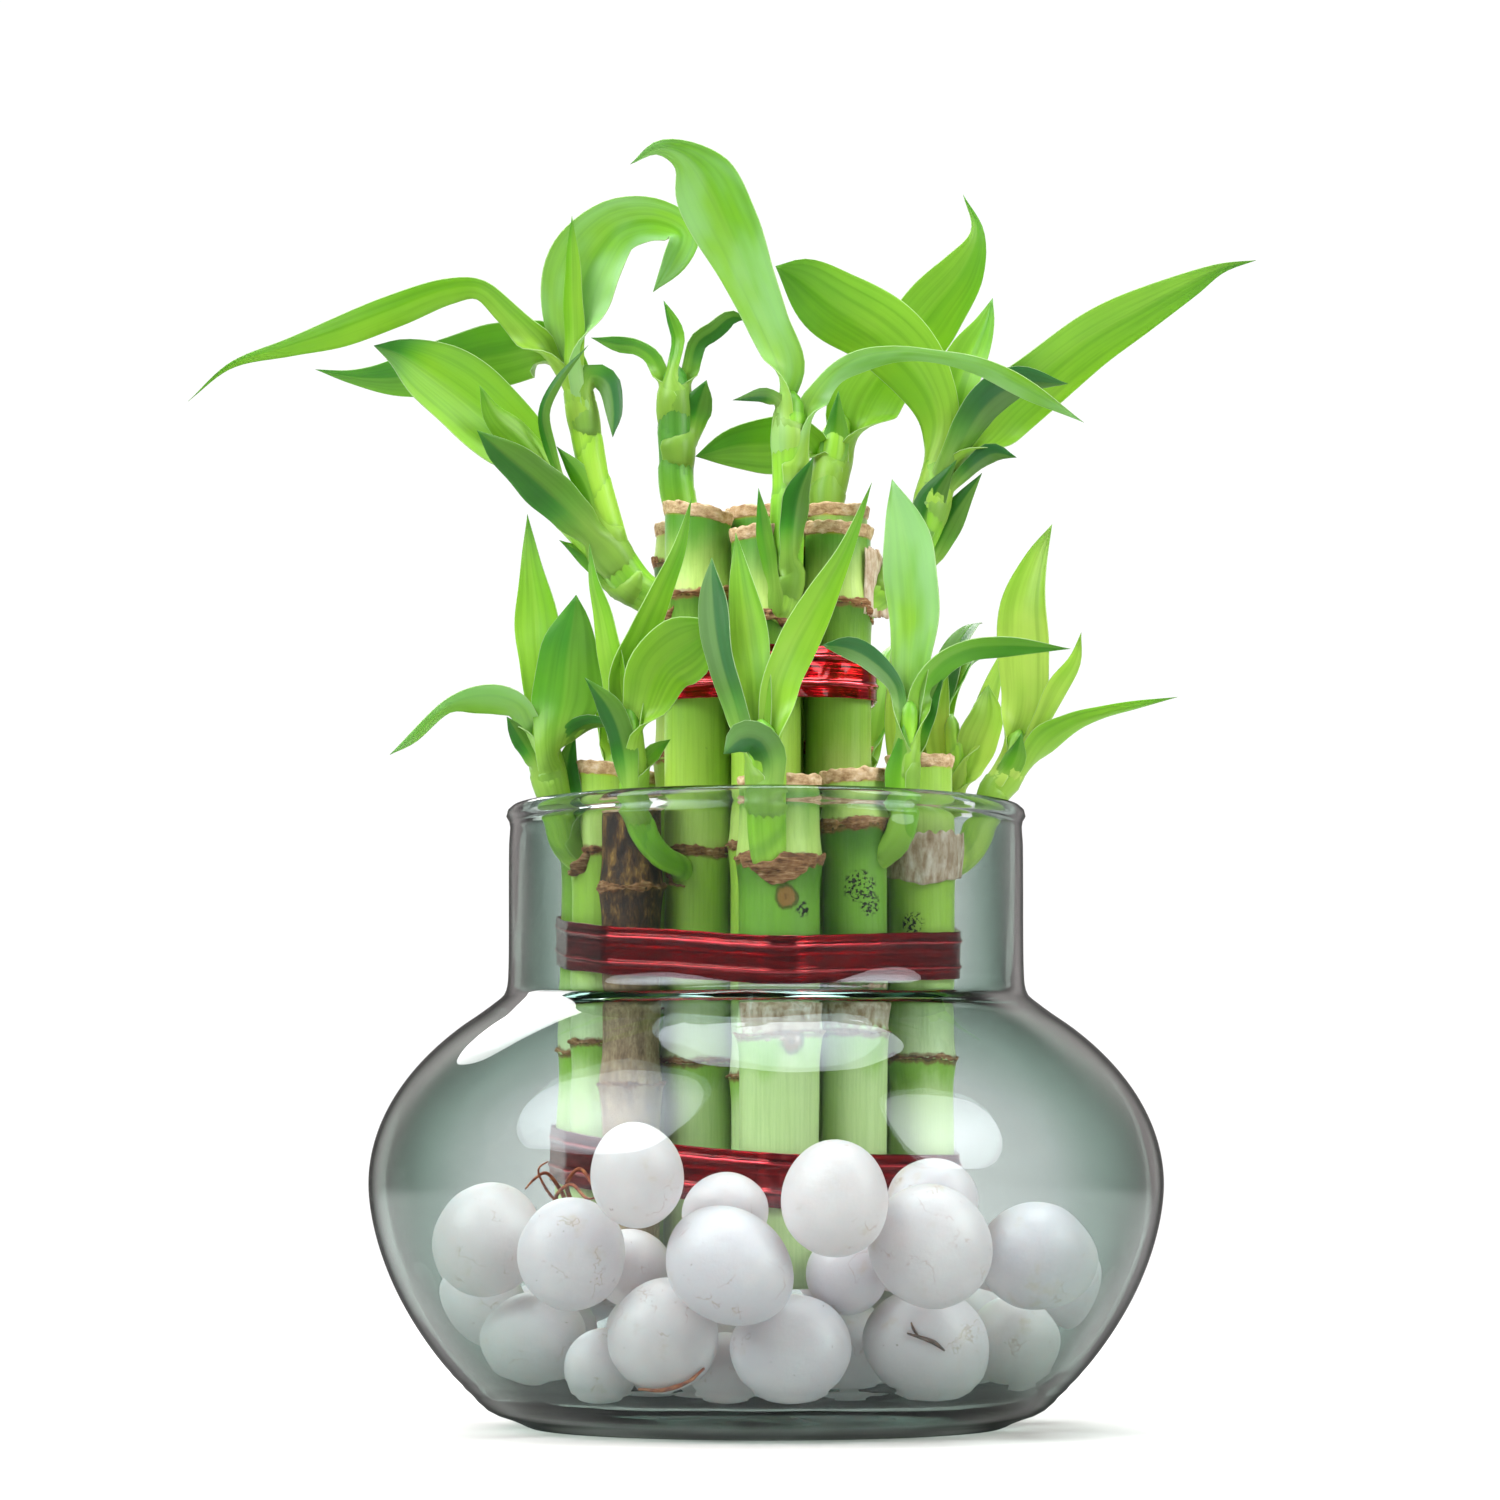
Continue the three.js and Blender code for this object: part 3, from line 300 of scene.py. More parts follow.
# Profile of radius and height, turned about the upright axis, with slow ripples as in blown glass
def makeBowl(glass):
    outerNeck = bowl["neckRadius"]
    innerNeck = outerNeck - bowl["wall"]
    bead = bowl["rimBead"]
    middle = outerNeck - bowl["wall"] / 2
    top = bowl["rimTop"] - bead
    up = np.linspace(3.2, 76.5, 30)
    down = np.linspace(76, 9, 26)
    bend = np.radians(np.linspace(-50, 230, 15))
    profile = [(0.02, 1.1), (20, 1.05), (34, 0.8), (39.5, 0.25), (42, 0.02), (44.2, 0.15), (46.2, 1.1)]
    profile += list(zip(bulbRadius(up), up))
    profile += [(50.6, 78.6), (49.1, 79.9), (48.5, 81.6), (48.3, 84.5), (48.25, 92), (48.3, 100), (48.3, 108)]
    profile += list(zip(middle + (bead + 0.1) * np.cos(bend), top + bead * np.sin(bend)))
    profile += [(innerNeck, 108), (innerNeck, 100), (innerNeck + 0.05, 92), (innerNeck, 84), (46.0, 80.6)]
    profile += [(46.9, 78.8)] + [(r, z) for r, z in zip(innerRadius(down), down) if r > innerNeck + 0.6]
    profile += [(innerRadius(9.0) - 2.2, 6.9), (innerRadius(9.0) - 6, 5.6)]
    profile += [(28, bowl["floor"] + 0.05), (10, bowl["floor"]), (0.02, bowl["floor"])]
    knots = np.array([(r, 0, z) for r, z in profile])
    path, _ = smoothPath(knots, bowl["along"])
    turn = fullTurn(bowl["around"])
    radius, height = path[:, 0:1], path[:, 2:3]
    ripple = np.sin(2 * turn + height / 19) + 0.6 * np.sin(3 * turn - height / 11)
    ripple = ripple + 0.4 * np.sin(5 * turn + height / 7)
    outside = np.arange(bowl["along"])[:, None] < bowl["along"] // 2
    fade = eased(height, 3, 14) * np.where(outside, 0.35, 1.0)
    rings = 1 - np.cos(5.2 * height + 0.7 * np.sin(2 * turn))
    rings = rings * eased(radius, 34, 46) * (1 - eased(height, 7, 13))
    radius = np.maximum(radius - bowl["ripple"] * (fade * (1 + ripple / 2) / 2 + 0.7 * rings), 0.01)
    grid = turned(0, 0, radius, turn, height)
    piece = addPiece("glassBowl", [facesOutward(closedBody(grid))], [glass], ["glass_bowl"])
    print("bowl:", len(piece.data.polygons), "faces")
    return piece


# Clear glass that lets lamplight straight through, and darkens sea-green along a long way in the wall.
# Painted shade: its colour and its reflections also darken toward grazing edges, where a dark see-through film is
# mixed in
def clearGlass():
    material, tree = newMaterial("Clear soda-lime glass")
    place = placeInMm(tree)
    facing = addNode(tree, "LayerWeight", inputs={"Blend": 0.5}).outputs["Facing"]
    wave = noiseOf(tree, place, (0.035, 0.035, 0.02), detail=1)
    # Painted shade: colour and reflection tint fall from pale in the middle to dark at grazing edges
    inputs = {"Base Color": colourRamp(tree, facing, bowl["tintAndEdgeShade"]), "Roughness": 0.0, "IOR": 1.4,
              "Transmission Weight": 1.0, "Specular Tint": colourRamp(tree, facing, bowl["gleamAndEdgeShade"]),
              "Normal": bumpOf(tree, wave, 1.2)}
    body = addNode(tree, "BsdfPrincipled", inputs=inputs).outputs[0]
    # Painted shade: a dark see-through film mixed in where the glass is seen edge on
    deep = addNode(tree, "BsdfTransparent", inputs={"Color": hexToLinear(bowl["edge"])}).outputs[0]
    rim = easeStep(tree, facing, 0.7, 0.9, 0.9)
    body = addNode(tree, "MixShader", inputs={0: rim, 1: body, 2: deep}).outputs[0]
    open_ = addNode(tree, "BsdfTransparent", inputs={"Color": hexToLinear(bowl["seenThrough"])}).outputs[0]
    path = addNode(tree, "LightPath")
    soft = math2(tree, "MAXIMUM", path.outputs["Is Shadow Ray"], path.outputs["Is Diffuse Ray"])
    surface = addNode(tree, "MixShader", inputs={0: soft, 1: body, 2: open_}).outputs[0]
    inside = {"Color": hexToLinear(bowl["depthTint"]), "Density": bowl["depthDensity"]}
    toOutput(tree, surface, addNode(tree, "VolumeAbsorption", inputs=inside).outputs[0])
    return material


canes = {"foot": 26.0, "around": 44, "step": 0.9, "ringReach": 22.0, "swell": 0.5, "ridge": 0.2, "cutDepth": 1.9}
# Each cane: x, y and radius, the drawn height of its top, and the drawn heights of its leaf scars
tallCanes = [
    (0, 0, 7.2, 176, (74, 118)),
    (-14.6, 6.5, 6.4, 173, (80, 128, 165)),
    (-12.8, -7.5, 6.3, 177.3, (70, 110.5, 159)),
    (0, -14.5, 6.6, 172.8, (68, 112, 155)),
    (13.5, -7.5, 6.3, 173.4, (78, 120, 157)),
    (-0.8, 14.5, 6.4, 172, (72, 116, 152)),
    (13, 7, 6.5, 176.4, (84, 130, 167)),
]
shortCanes = [
    (-33.3, 10.8, 6.2, 126, (72, 112)),
    (-30.6, -2.7, 5.8, 128.5, (74, 110.5)),
    (-24.8, -13.5, 5.4, 122, (66, 104)),
    (2.3, -29, 7.4, 125.5, (75.5, 109.5)),
    (16, -21, 5.9, 127, (75.5, 115)),
    (28.6, -11, 6.1, 129.5, (71, 109)),
    (28.2, 3, 6.2, 127, (73, 112)),
    (26, 16.2, 6.2, 125, (76, 113)),
    (15.5, 25.5, 6.2, 127, (70, 111)),
    (2, 29.3, 6.2, 125, (74, 109)),
    (-11.5, 27.5, 6.2, 128, (71, 113)),
    (-23.5, 21, 6.2, 126, (75, 111)),
]
deadCane = 2  # of the short canes
# Top cuts that slope: (kind, number) to the drop in millimetres from the left of the cut to its right
cutSlopes = {("tall", 2): 2.2, ("tall", 3): -0.8, ("tall", 4): 0.9, ("short", 1): 1.2, ("short", 4): -0.6}
# Round scars left by buds: kind and number of the cane, and where the scar is drawn
roundScars = [("short", 3, 4.0, 102.6), ("short", 3, 5.2, 74.2), ("tall", 2, -9.5, 88.4)]
# How dark each cane's skin is, from 0 for the palest to 1
caneShades = {("short", 3): 0.75, ("short", 4): 0.7, ("short", 0): 0.4,
              ("tall", 0): 0.5, ("tall", 5): 0.5, ("tall", 4): 0.4}
# Sooty specks on the short canes: number, drawn x, drawn z and reach
sootSpots = [(3, 7.3, 100.2, 1.7), (4, 17.5, 104.5, 3.2), (4, 19.6, 101.0, 2.2), (5, 27.5, 97.5, 2.2),
             (3, -3.4, 103.6, 1.5)]


# The node that stands for a cane in the frame
def caneNode(kind, number):
    return f"cane_{kind}_{number:02d}"


# Seeds of the short canes start at 500, above those of the tall ones
def caneSeed(kind, number):
    return number * 10 + (0 if kind == "tall" else 500)


# Real height of a point that is drawn at x and z and lies at a depth
def heightSeen(x, z, depth):
    return float(sighted(x, z, depth)[0, 2])


# Drop of a sloping cut: straight from the cut's high side to its low side
def slopeFall(kind, number, across, radius):
    slope = cutSlopes.get((kind, number), 0.0)
    return np.maximum(0, slope * across / (2 * radius) + abs(slope) / 2)


# Height of a leaf scar round the cane: level, with a slow tilt and a few small waves
def scarLine(turn, level, seed):
    return level + 0.45 * unevenTurn(turn, seed, (1, 2)) + 0.3 * unevenTurn(turn, seed + 1, (3, 5, 8))


# Cane skin: radius and height turned about the cane's axis, swollen at each scar and ridged on its line.
# Marks: the distance above the nearest scar, soot, and paleness low in the bowl: own colour plus painted
# reflection haze.
def caneSkin(kind, number, cane):
    x, y, radius, drawnTop, drawnScars = cane
    top = heightSeen(x, drawnTop, y) - canes["cutDepth"]
    scars = [heightSeen(x, z, y) for z in drawnScars]
    levels = np.arange(canes["foot"] + 0.4, top, canes["step"])
    close = [scar + step for scar in scars for step in np.arange(-1.8, 1.9, 0.3)]
    levels = np.unique(np.concatenate([[canes["foot"]], levels, close, [top]]).clip(canes["foot"], top))
    turn = fullTurn(canes["around"])
    height = levels[:, None] + 0 * turn
    seed = caneSeed(kind, number)
    overScar = np.full_like(height, canes["ringReach"])
    underScar = np.full_like(height, canes["ringReach"])
    grown = np.zeros_like(height)
    for i, scar in enumerate(scars):
        above = height - scarLine(turn, scar, seed + i)
        grown += canes["swell"] * np.exp(-(above / 3.4) ** 2)
        grown += canes["ridge"] * np.exp(-(above / 0.55) ** 2)
        overScar = np.where(above >= 0, np.minimum(above, overScar), overScar)
        underScar = np.where(above < 0, np.minimum(-above, underScar), underScar)
    out = radius - 0.12 + grown + 0.1 * unevenTurn(turn, seed + 7, (2, 3))
    out = out * np.where(levels < canes["foot"] + 0.3, 0.93, 1.0)[:, None]
    grid = turned(x, y, out, turn, height)
    grid[..., 2] -= slopeFall(kind, number, grid[..., 0] - x, radius) * eased(height, top - 6, top - 0.5)
    soot = np.zeros_like(height)
    spotGap = np.full_like(height, 9.0)
    for owner, spotX, spotZ, reach in (sootSpots if kind == "short" else []):
        if owner == number:
            gap = np.linalg.norm(grid - sighted(spotX, spotZ, y - radius * 0.9)[0], axis=-1)
            soot = np.maximum(soot, 1 - gap / reach)
    for spotKind, owner, spotX, spotZ in roundScars:
        if (spotKind, owner) == (kind, number):
            gap = np.linalg.norm(grid - sighted(spotX, spotZ, y - radius)[0], axis=-1)
            spotGap = np.minimum(spotGap, gap)
    low = caneShades.get((kind, number), 0.1)
    shade = low + (max(low, 0.6) - low) * eased(height, 118, 138)
    shade = (shade + (0.45 if kind == "tall" else 0.25) * eased(height, top - 15, top - 4)).clip(0, 1)
    age = np.stack([overScar, underScar, top + canes["cutDepth"] - height], -1)
    spots = np.stack([soot.clip(0, 1), spotGap, shade], -1)
    # Paleness low in the bowl: partly the skin's own colour, partly painted reflection haze of the glass
    return facesOutward(closedBody(grid, {"age": age, "spots": spots, "paleLowAndHaze": eased(height, 86, 76)}))


# Dried cut on top of a cane: an upright rough band that stands a little proud, closed by a rough face
def caneCut(kind, number, cane):
    x, y, radius, drawnTop, _ = cane
    top = heightSeen(x, drawnTop, y)
    seed = caneSeed(kind, number) + 3
    turn = fullTurn(96)
    share = np.array([-0.2, 0.0, 0.1, 0.16, 0.26, 0.36, 0.4, 0.3, 0.0, -0.5, -1.2, -2.2, -3.4, -4.8, -6.2])
    sink = np.array([2.5, 2.3, 2.0, 1.6, 1.2, 0.7, 0.3, 0.08, 0.0, 0.25, 0.45, 0.4, 0.3, 0.45, 0.5])
    band = (share > -1)[:, None]
    out = radius + share[:, None] + 0.2 * unevenTurn(turn, seed, (2, 3, 5, 9)) * band
    rough = 0.75 * unevenTurn(turn, seed + 1, (1, 2, 4, 7, 12, 19)) * np.linspace(0.25, 1, len(share))[:, None]
    drop = sink[:, None] + rough + 0.35 + 0.25 * band * unevenTurn(turn, seed + 2, (6, 11, 17))
    grid = turned(x, y, out, turn, top - drop)
    bumpy = lumps(grid, seed, 2.2, 7) * 0.2 + lumps(grid, seed + 5, 0.8, 7) * 0.07
    out = np.maximum(out + bumpy * band, 0.15)
    fall = slopeFall(kind, number, grid[..., 0] - x, radius)
    grid = turned(x, y, out, turn, grid[..., 2] - fall - np.abs(bumpy))
    return facesOutward(closedBody(grid))


# Papery collar left by an old leaf: a torn band along the scar, whose height, lip and thickness change all
# the way round
def scarCollar(cane, level, seed, high=0.75, proud=0.4):
    x, y, radius = cane[:3]
    turn = fullTurn(180)[:, None]
    line = scarLine(turn, level, seed)
    torn = 1.5 * unevenTurn(turn, seed + 2, (2, 3, 5, 8)) + 0.4 * unevenTurn(turn, seed + 3, (13, 21, 33))
    tall = np.maximum(high * (0.85 + 0.9 * torn), 0.16)
    lip = proud * np.maximum(0.25, 0.8 + 1.1 * unevenTurn(turn, seed + 4, (3, 7, 17, 29)))
    reach = np.array([0.2, 0.42, 0.5, 0.5, 0.45, 0.2, 0.15, 0.1])
    curl = np.array([0.0, 0.1, 0.5, 1.0, 1.25, 1.05, 0.4, 0.0])
    rise = np.array([-1.0, -0.75, 0.0, 0.6, 1.15, 1.2, 0.2, -0.7])
    out = radius + reach + lip * curl
    height = line + tall * rise + 0.12 * unevenTurn(turn, seed + 6, (23, 37, 53))
    return facesOutward(closedRing(turned(x, y, out, turn, height)))


# The pale low colours, and the dead cane's faded ones, are the skin's own paler colour with painted reflection
# haze of the glass
caneColours = {
    "skin": "#a6cf4e", "shaded": "#518c2a", "over": "#c6df7e", "under": "#37691a",
    "paleLowAndHaze": "#c3dc98", "paleLowAndHazeOver": "#d9e7bb", "fresh": "#84bb26", "vein": "#7ba04a", "fleck": "#55782a",
    "scar": "#7d5230", "scarEdge": "#402714", "soot": "#141710", "callus": "#b8672a", "tan": "#8f6838",
}
deadColours = {
    "open": [(0.33, "#0f0b07"), (0.44, "#2b1a0d"), (0.52, "#4f3317"), (0.6, "#86622b"), (0.68, "#b3914e")],
    "paleLowAndHaze": [(0.35, "#6b5340"), (0.5, "#9c8163"), (0.65, "#c0aa86")],
}


# Cane skin: waxy, dark just under a scar and pale just over it, with faint lengthwise streaks, a brown scar
# line, sooty specks and small round scars
def caneGreen():
    material, tree = newMaterial("Green cane skin")
    place = placeInMm(tree)
    age = addNode(tree, "Attribute", {"attribute_name": "age"}).outputs["Vector"]
    over, under, belowCut = addNode(tree, "SeparateXYZ", inputs={"Vector": age}).outputs
    spots = addNode(tree, "Attribute", {"attribute_name": "spots"}).outputs["Vector"]
    soot, spotGap, shade = addNode(tree, "SeparateXYZ", inputs={"Vector": spots}).outputs
    paleLowAndHaze = addNode(tree, "Attribute", {"attribute_name": "paleLowAndHaze"}).outputs["Fac"]
    colours = {name: hexToLinear(code) for name, code in caneColours.items()}
    wander = noiseOf(tree, place, (0.18, 0.18, 0.05), detail=4)
    wander = math2(tree, "MULTIPLY", math2(tree, "SUBTRACT", wander, 0.5), 12.0)
    skin = mixColour(tree, shade, colours["skin"], colours["shaded"])
    # Painted reflection haze, with the skin's own paleness: paler low in the bowl
    skin = mixColour(tree, paleLowAndHaze, skin, colours["paleLowAndHaze"])
    skin = mixColour(tree, easeStep(tree, math2(tree, "ADD", over, wander), 15.0, 0.0, 0.8), skin,
                     mixColour(tree, paleLowAndHaze, colours["over"], colours["paleLowAndHazeOver"]))
    dark = easeStep(tree, math2(tree, "ADD", under, wander), 11.0, -1.0, 0.85)
    dark = math2(tree, "MULTIPLY", dark, easeStep(tree, shade, 0.0, 0.6))
    dark = math2(tree, "MULTIPLY", dark, math2(tree, "SUBTRACT", 1.0, paleLowAndHaze))
    skin = mixColour(tree, dark, skin, colours["under"])
    fresh = math2(tree, "MULTIPLY", easeStep(tree, math2(tree, "ADD", under, wander), 8.0, 1.0, 0.85), paleLowAndHaze)
    skin = mixColour(tree, fresh, skin, colours["fresh"])
    streak = noiseOf(tree, place, (1.9, 1.9, 0.06), detail=4, roughness=0.6)
    skin = mixColour(tree, easeStep(tree, streak, 0.35, 0.75, 0.2), skin, colours["vein"], "MULTIPLY")
    fleck = noiseOf(tree, place, (1.4, 1.4, 1.1), detail=5, roughness=0.7)
    skin = mixColour(tree, easeStep(tree, fleck, 0.64, 0.74, 0.35), skin, colours["fleck"])
    skin = mixColour(tree, easeStep(tree, belowCut, 3.3, 2.2, 0.75), skin, colours["callus"])
    jag = math2(tree, "SUBTRACT", noiseOf(tree, place, (0.9, 0.9, 0.3), detail=5), 0.5)
    jag = math2(tree, "MULTIPLY", jag, 1.6)
    line = math2(tree, "ABSOLUTE", math2(tree, "ADD", math2(tree, "MINIMUM", over, under), jag))
    skin = mixColour(tree, easeStep(tree, line, 1.15, 0.55, 0.8), skin, colours["scar"])
    skin = mixColour(tree, easeStep(tree, line, 0.45, 0.2, 0.7), skin, colours["scarEdge"])
    ring = math2(tree, "ADD", spotGap, math2(tree, "MULTIPLY", jag, 1.1))
    skin = mixColour(tree, easeStep(tree, ring, 2.6, 2.0, 0.75), skin, colours["scarEdge"])
    skin = mixColour(tree, easeStep(tree, ring, 2.0, 1.5, 0.85), skin, colours["tan"])
    skin = mixColour(tree, easeStep(tree, ring, 0.9, 0.4, 0.9), skin, colours["scarEdge"])
    dots = noiseOf(tree, place, (1.5, 1.5, 1.5), detail=3, roughness=0.6)
    dust = math2(tree, "MULTIPLY", easeStep(tree, dots, 0.5, 0.54), easeStep(tree, soot, 0.0, 0.2))
    skin = mixColour(tree, dust, skin, colours["soot"])
    inputs = {"Base Color": skin, "Roughness": 0.34, "IOR": 1.45, "Specular IOR Level": 0.4,
              "Subsurface Weight": 0.08, "Subsurface Radius": (0.0012, 0.0016, 0.0004), "Subsurface Scale": 1.0,
              "Normal": bumpOf(tree, math2(tree, "ADD", streak, math2(tree, "MULTIPLY", fleck, 0.5)), 0.07)}
    toOutput(tree, addNode(tree, "BsdfPrincipled", inputs=inputs).outputs[0])
    return material


# A dead cane: mottled black, brown and ochre, blotched along its length, and paler low in the bowl, partly its own
# colour and partly painted reflection haze of the glass
def caneBrown():
    material, tree = newMaterial("Dead brown cane")
    place = placeInMm(tree)
    blotch = noiseOf(tree, place, (0.55, 0.55, 0.22), detail=7, roughness=0.68)
    grain = noiseOf(tree, place, (2.4, 2.4, 0.9), detail=5, roughness=0.7)
    mixed = math2(tree, "ADD", math2(tree, "MULTIPLY", blotch, 0.65), math2(tree, "MULTIPLY", grain, 0.35))
    dark = colourRamp(tree, mixed, deadColours["open"])
    # Painted reflection haze, with the cane's own colour: paler low in the bowl
    faded = colourRamp(tree, mixed, deadColours["paleLowAndHaze"])
    paleLowAndHaze = addNode(tree, "Attribute", {"attribute_name": "paleLowAndHaze"}).outputs["Fac"]
    skin = mixColour(tree, paleLowAndHaze, dark, faded)
    inputs = {"Base Color": skin, "Roughness": 0.72, "Normal": bumpOf(tree, mixed, 0.6)}
    toOutput(tree, addNode(tree, "BsdfPrincipled", inputs=inputs).outputs[0])
    return material


# Dry parts: colours by place on the ramp, how fine the fibres are each way, and how deep they show
dryLooks = {
    "Torn leaf husk": {"stretch": (0.35, 0.35, 2.2), "depth": 0.4, "stops": [
        (0.34, "#3d2413"), (0.44, "#73492a"), (0.54, "#9c7048"), (0.66, "#cbab83")]},
    "Dry papery husk": {"stretch": (0.75, 0.75, 0.24), "depth": 0.35, "stops": [
        (0.3, "#6a4a31"), (0.4, "#9c7f63"), (0.5, "#bda68f"), (0.64, "#ddcfc0")]},
    "Dried cut wood": {"stretch": (0.6, 0.6, 1.1), "depth": 0.5, "stops": [
        (0.3, "#6a4a2e"), (0.42, "#a28159"), (0.54, "#c7ab84"), (0.68, "#dccab0")]},
}


# Dry husk and cut wood: dull fibres from cream to dark brown, stained in patches
def dryFibre(name):
    spec = dryLooks[name]
    material, tree = newMaterial(name)
    place = placeInMm(tree)
    fibre = noiseOf(tree, place, spec["stretch"], detail=6, roughness=0.65)
    stain = noiseOf(tree, place, (0.45, 0.45, 0.45), detail=3)
    mixed = math2(tree, "ADD", math2(tree, "MULTIPLY", fibre, 0.7), math2(tree, "MULTIPLY", stain, 0.3))
    inputs = {"Base Color": colourRamp(tree, mixed, spec["stops"]), "Roughness": 0.82,
              "Normal": bumpOf(tree, mixed, spec["depth"])}
    toOutput(tree, addNode(tree, "BsdfPrincipled", inputs=inputs).outputs[0])
    return material


def makeCanes(green, brown, husk, cutWood):
    for kind, rows in (("tall", tallCanes), ("short", shortCanes)):
        for number, cane in enumerate(rows):
            look, slot = (brown, "dead_cane") if (kind, number) == ("short", deadCane) else (green, "cane")
            node = caneNode(kind, number)
            addPiece(f"{kind}Cane{number:02d}", [caneSkin(kind, number, cane)], [look], [node])
            seed = caneSeed(kind, number)
            dry = [caneCut(kind, number, cane)]
            for i, z in enumerate(cane[4]):
                collar = scarCollar(cane, heightSeen(cane[0], z, cane[1]), seed + i, 0.45 if i == 0 else 0.8)
                collar["material"] = 1
                dry.append(collar)
            addPiece(f"{kind}CaneDryParts{number:02d}", dry, [cutWood, husk], [node])
    print("canes:", len(tallCanes) + len(shortCanes))


# The fold colour is a painted pink highlight along the pressed ridges
ribbon = {
    "width": 9.6, "inner": 0.72, "outer": 0.98, "ridge": 0.42, "ridgeHalf": 0.042, "ridgesAt": (0.8, 0.29),
    "crinkle": 0.035, "around": 900, "dark": "#5e0509", "bright": "#a60d15", "fold": "#f04a56",
}
ribbons = {
    "upper": {"canes": tallCanes, "foot": 134.8, "slopeX": 0.0, "slopeY": 0.03},
    "middle": {"canes": shortCanes, "foot": 83.9, "slopeX": -0.02, "slopeY": 0.12},
    "lower": {"canes": shortCanes, "foot": 42.9, "slopeX": -0.05, "slopeY": 0.06},
}


# Tight line round several circles: for each heading, the point of the circle that reaches furthest that way
def tightLine(circles, distance, count):
    heading = np.linspace(0, 2 * math.pi, 1440, endpoint=False)
    out = np.stack([np.cos(heading), np.sin(heading)], 1)
    centres = np.array([cane[:2] for cane in circles], float)
    radii = np.array([cane[2] for cane in circles]) + distance
    owner = np.argmax(out @ centres.T + radii, axis=1)
    line = centres[owner] + out * radii[owner, None]
    line = np.vstack([line, line[:1]])
    length = np.concatenate([[0], np.cumsum(np.linalg.norm(np.diff(line, axis=0), axis=1))])
    even = np.linspace(0, length[-1], count, endpoint=False)
    return np.stack([np.interp(even, length, line[:, i]) for i in (0, 1)], 1), even


# Ribbon: a thin band along the tight line. Its outer face has two pressed ridges and small crinkles, and
# its height slopes with x and y.
def makeRibbon(name, foil):
    spec = ribbons[name]
    line, along = tightLine(spec["canes"], ribbon["inner"], ribbon["around"])
    ahead = np.roll(line, -1, axis=0) - np.roll(line, 1, axis=0)
    out = unit(np.stack([ahead[:, 1], -ahead[:, 0]], 1))
    share = np.linspace(0, 1, 44)
    turn = 2 * math.pi * along[:, None] / (along[-1] + along[1])
    seed = len(name) * 7
    raised = np.zeros((len(line), len(share)))
    for ridge in ribbon["ridgesAt"]:
        place = ridge + 0.012 * unevenTurn(turn, seed, (1, 2, 5))
        raised += ribbon["ridge"] * np.exp(-((share - place) / ribbon["ridgeHalf"]) ** 2)
    crinkle = unevenTurn(turn + 0.35 * share, seed + 1, (11, 17, 23, 37)) * np.sin(5 * share + 3 * turn)
    crinkle += 0.6 * unevenTurn(turn - 0.2 * share, seed + 2, (41, 57, 71))
    raised += ribbon["crinkle"] * crinkle * np.sin(math.pi * share)
    reach = ribbon["outer"] - ribbon["inner"] + raised
    outerFace = line[:, None] + out[:, None] * reach[..., None]
    innerFace = np.repeat(line[:, None], 2, axis=1)
    ringPlan = np.concatenate([outerFace, innerFace], 1)
    rise = ribbon["width"] * np.concatenate([share, [0.985, 0.015]])[None]
    edge = 0.16 * unevenTurn(turn, seed + 3, (2, 5, 9)) + 0.06 * unevenTurn(turn, seed + 4, (31, 47))
    height = spec["foot"] + rise + edge + spec["slopeX"] * ringPlan[..., 0] + spec["slopeY"] * ringPlan[..., 1]
    grid = np.concatenate([ringPlan, height[..., None]], -1)
    body = facesOutward(closedRing(grid, {"across": np.broadcast_to(np.append(share, [1, 0]), height.shape)}))
    addPiece(f"{name}Ribbon", [body], [foil], [f"ribbon_{name}"])


# Metallised red film: a mirror under red lacquer, creased along its length, with a painted pink highlight along
# each of its two pressed ridges
def redFoil():
    material, tree = newMaterial("Red metallised ribbon")
    place = placeInMm(tree)
    across = addNode(tree, "Attribute", {"attribute_name": "across"}).outputs["Fac"]
    strip = addNode(tree, "CombineXYZ", inputs={"X": across}).outputs[0]
    band = noiseOf(tree, strip, (9.0, 1.0, 1.0), detail=3, roughness=0.7)
    wrinkle = noiseOf(tree, place, (0.16, 0.16, 1.3), detail=4)
    shade = math2(tree, "ADD", math2(tree, "MULTIPLY", band, 0.6), math2(tree, "MULTIPLY", wrinkle, 0.4))
    dark, bright = (hexToLinear(ribbon[name]) for name in ("dark", "bright"))
    colour = mixColour(tree, easeStep(tree, shade, 0.4, 0.6), dark, bright)
    # Painted highlight: pale pink along each pressed ridge
    for ridge in ribbon["ridgesAt"]:
        away = math2(tree, "ABSOLUTE", math2(tree, "SUBTRACT", across, ridge))
        colour = mixColour(tree, easeStep(tree, away, 0.035, 0.008, 0.75), colour, hexToLinear(ribbon["fold"]))
    inputs = {"Base Color": colour, "Metallic": 1.0, "Roughness": 0.17, "Normal": bumpOf(tree, shade, 0.22),
              "Coat Weight": 0.5, "Coat Roughness": 0.06}
    toOutput(tree, addNode(tree, "BsdfPrincipled", inputs=inputs).outputs[0])
    return material


pebbles = {
    "around": 64, "rows": 34, "lump": 0.16, "fine": 0.03,
    "warm": "#d8cdcf", "cool": "#cfc7ce", "cloud": "#e2d9db", "stain": "#c9b596", "crack": "#a88b74",
    "speck": "#7d6a58",
}


def pebbleNodes():
    return sorted(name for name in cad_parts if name.startswith("pebble_"))


# Middle and half axes of a packed pebble, from the spread of its corner points
def pebbleForm(node):
    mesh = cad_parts[node].data
    points = np.empty(len(mesh.vertices) * 3)
    mesh.vertices.foreach_get("co", points)
    points = np.unique(np.round(points.reshape(-1, 3) / metresPerMm, 3), axis=0)
    middle = points.mean(axis=0)
    spread, ways = np.linalg.eigh(np.cov((points - middle).T, bias=True))
    return middle, ways * np.sqrt(3 * spread)


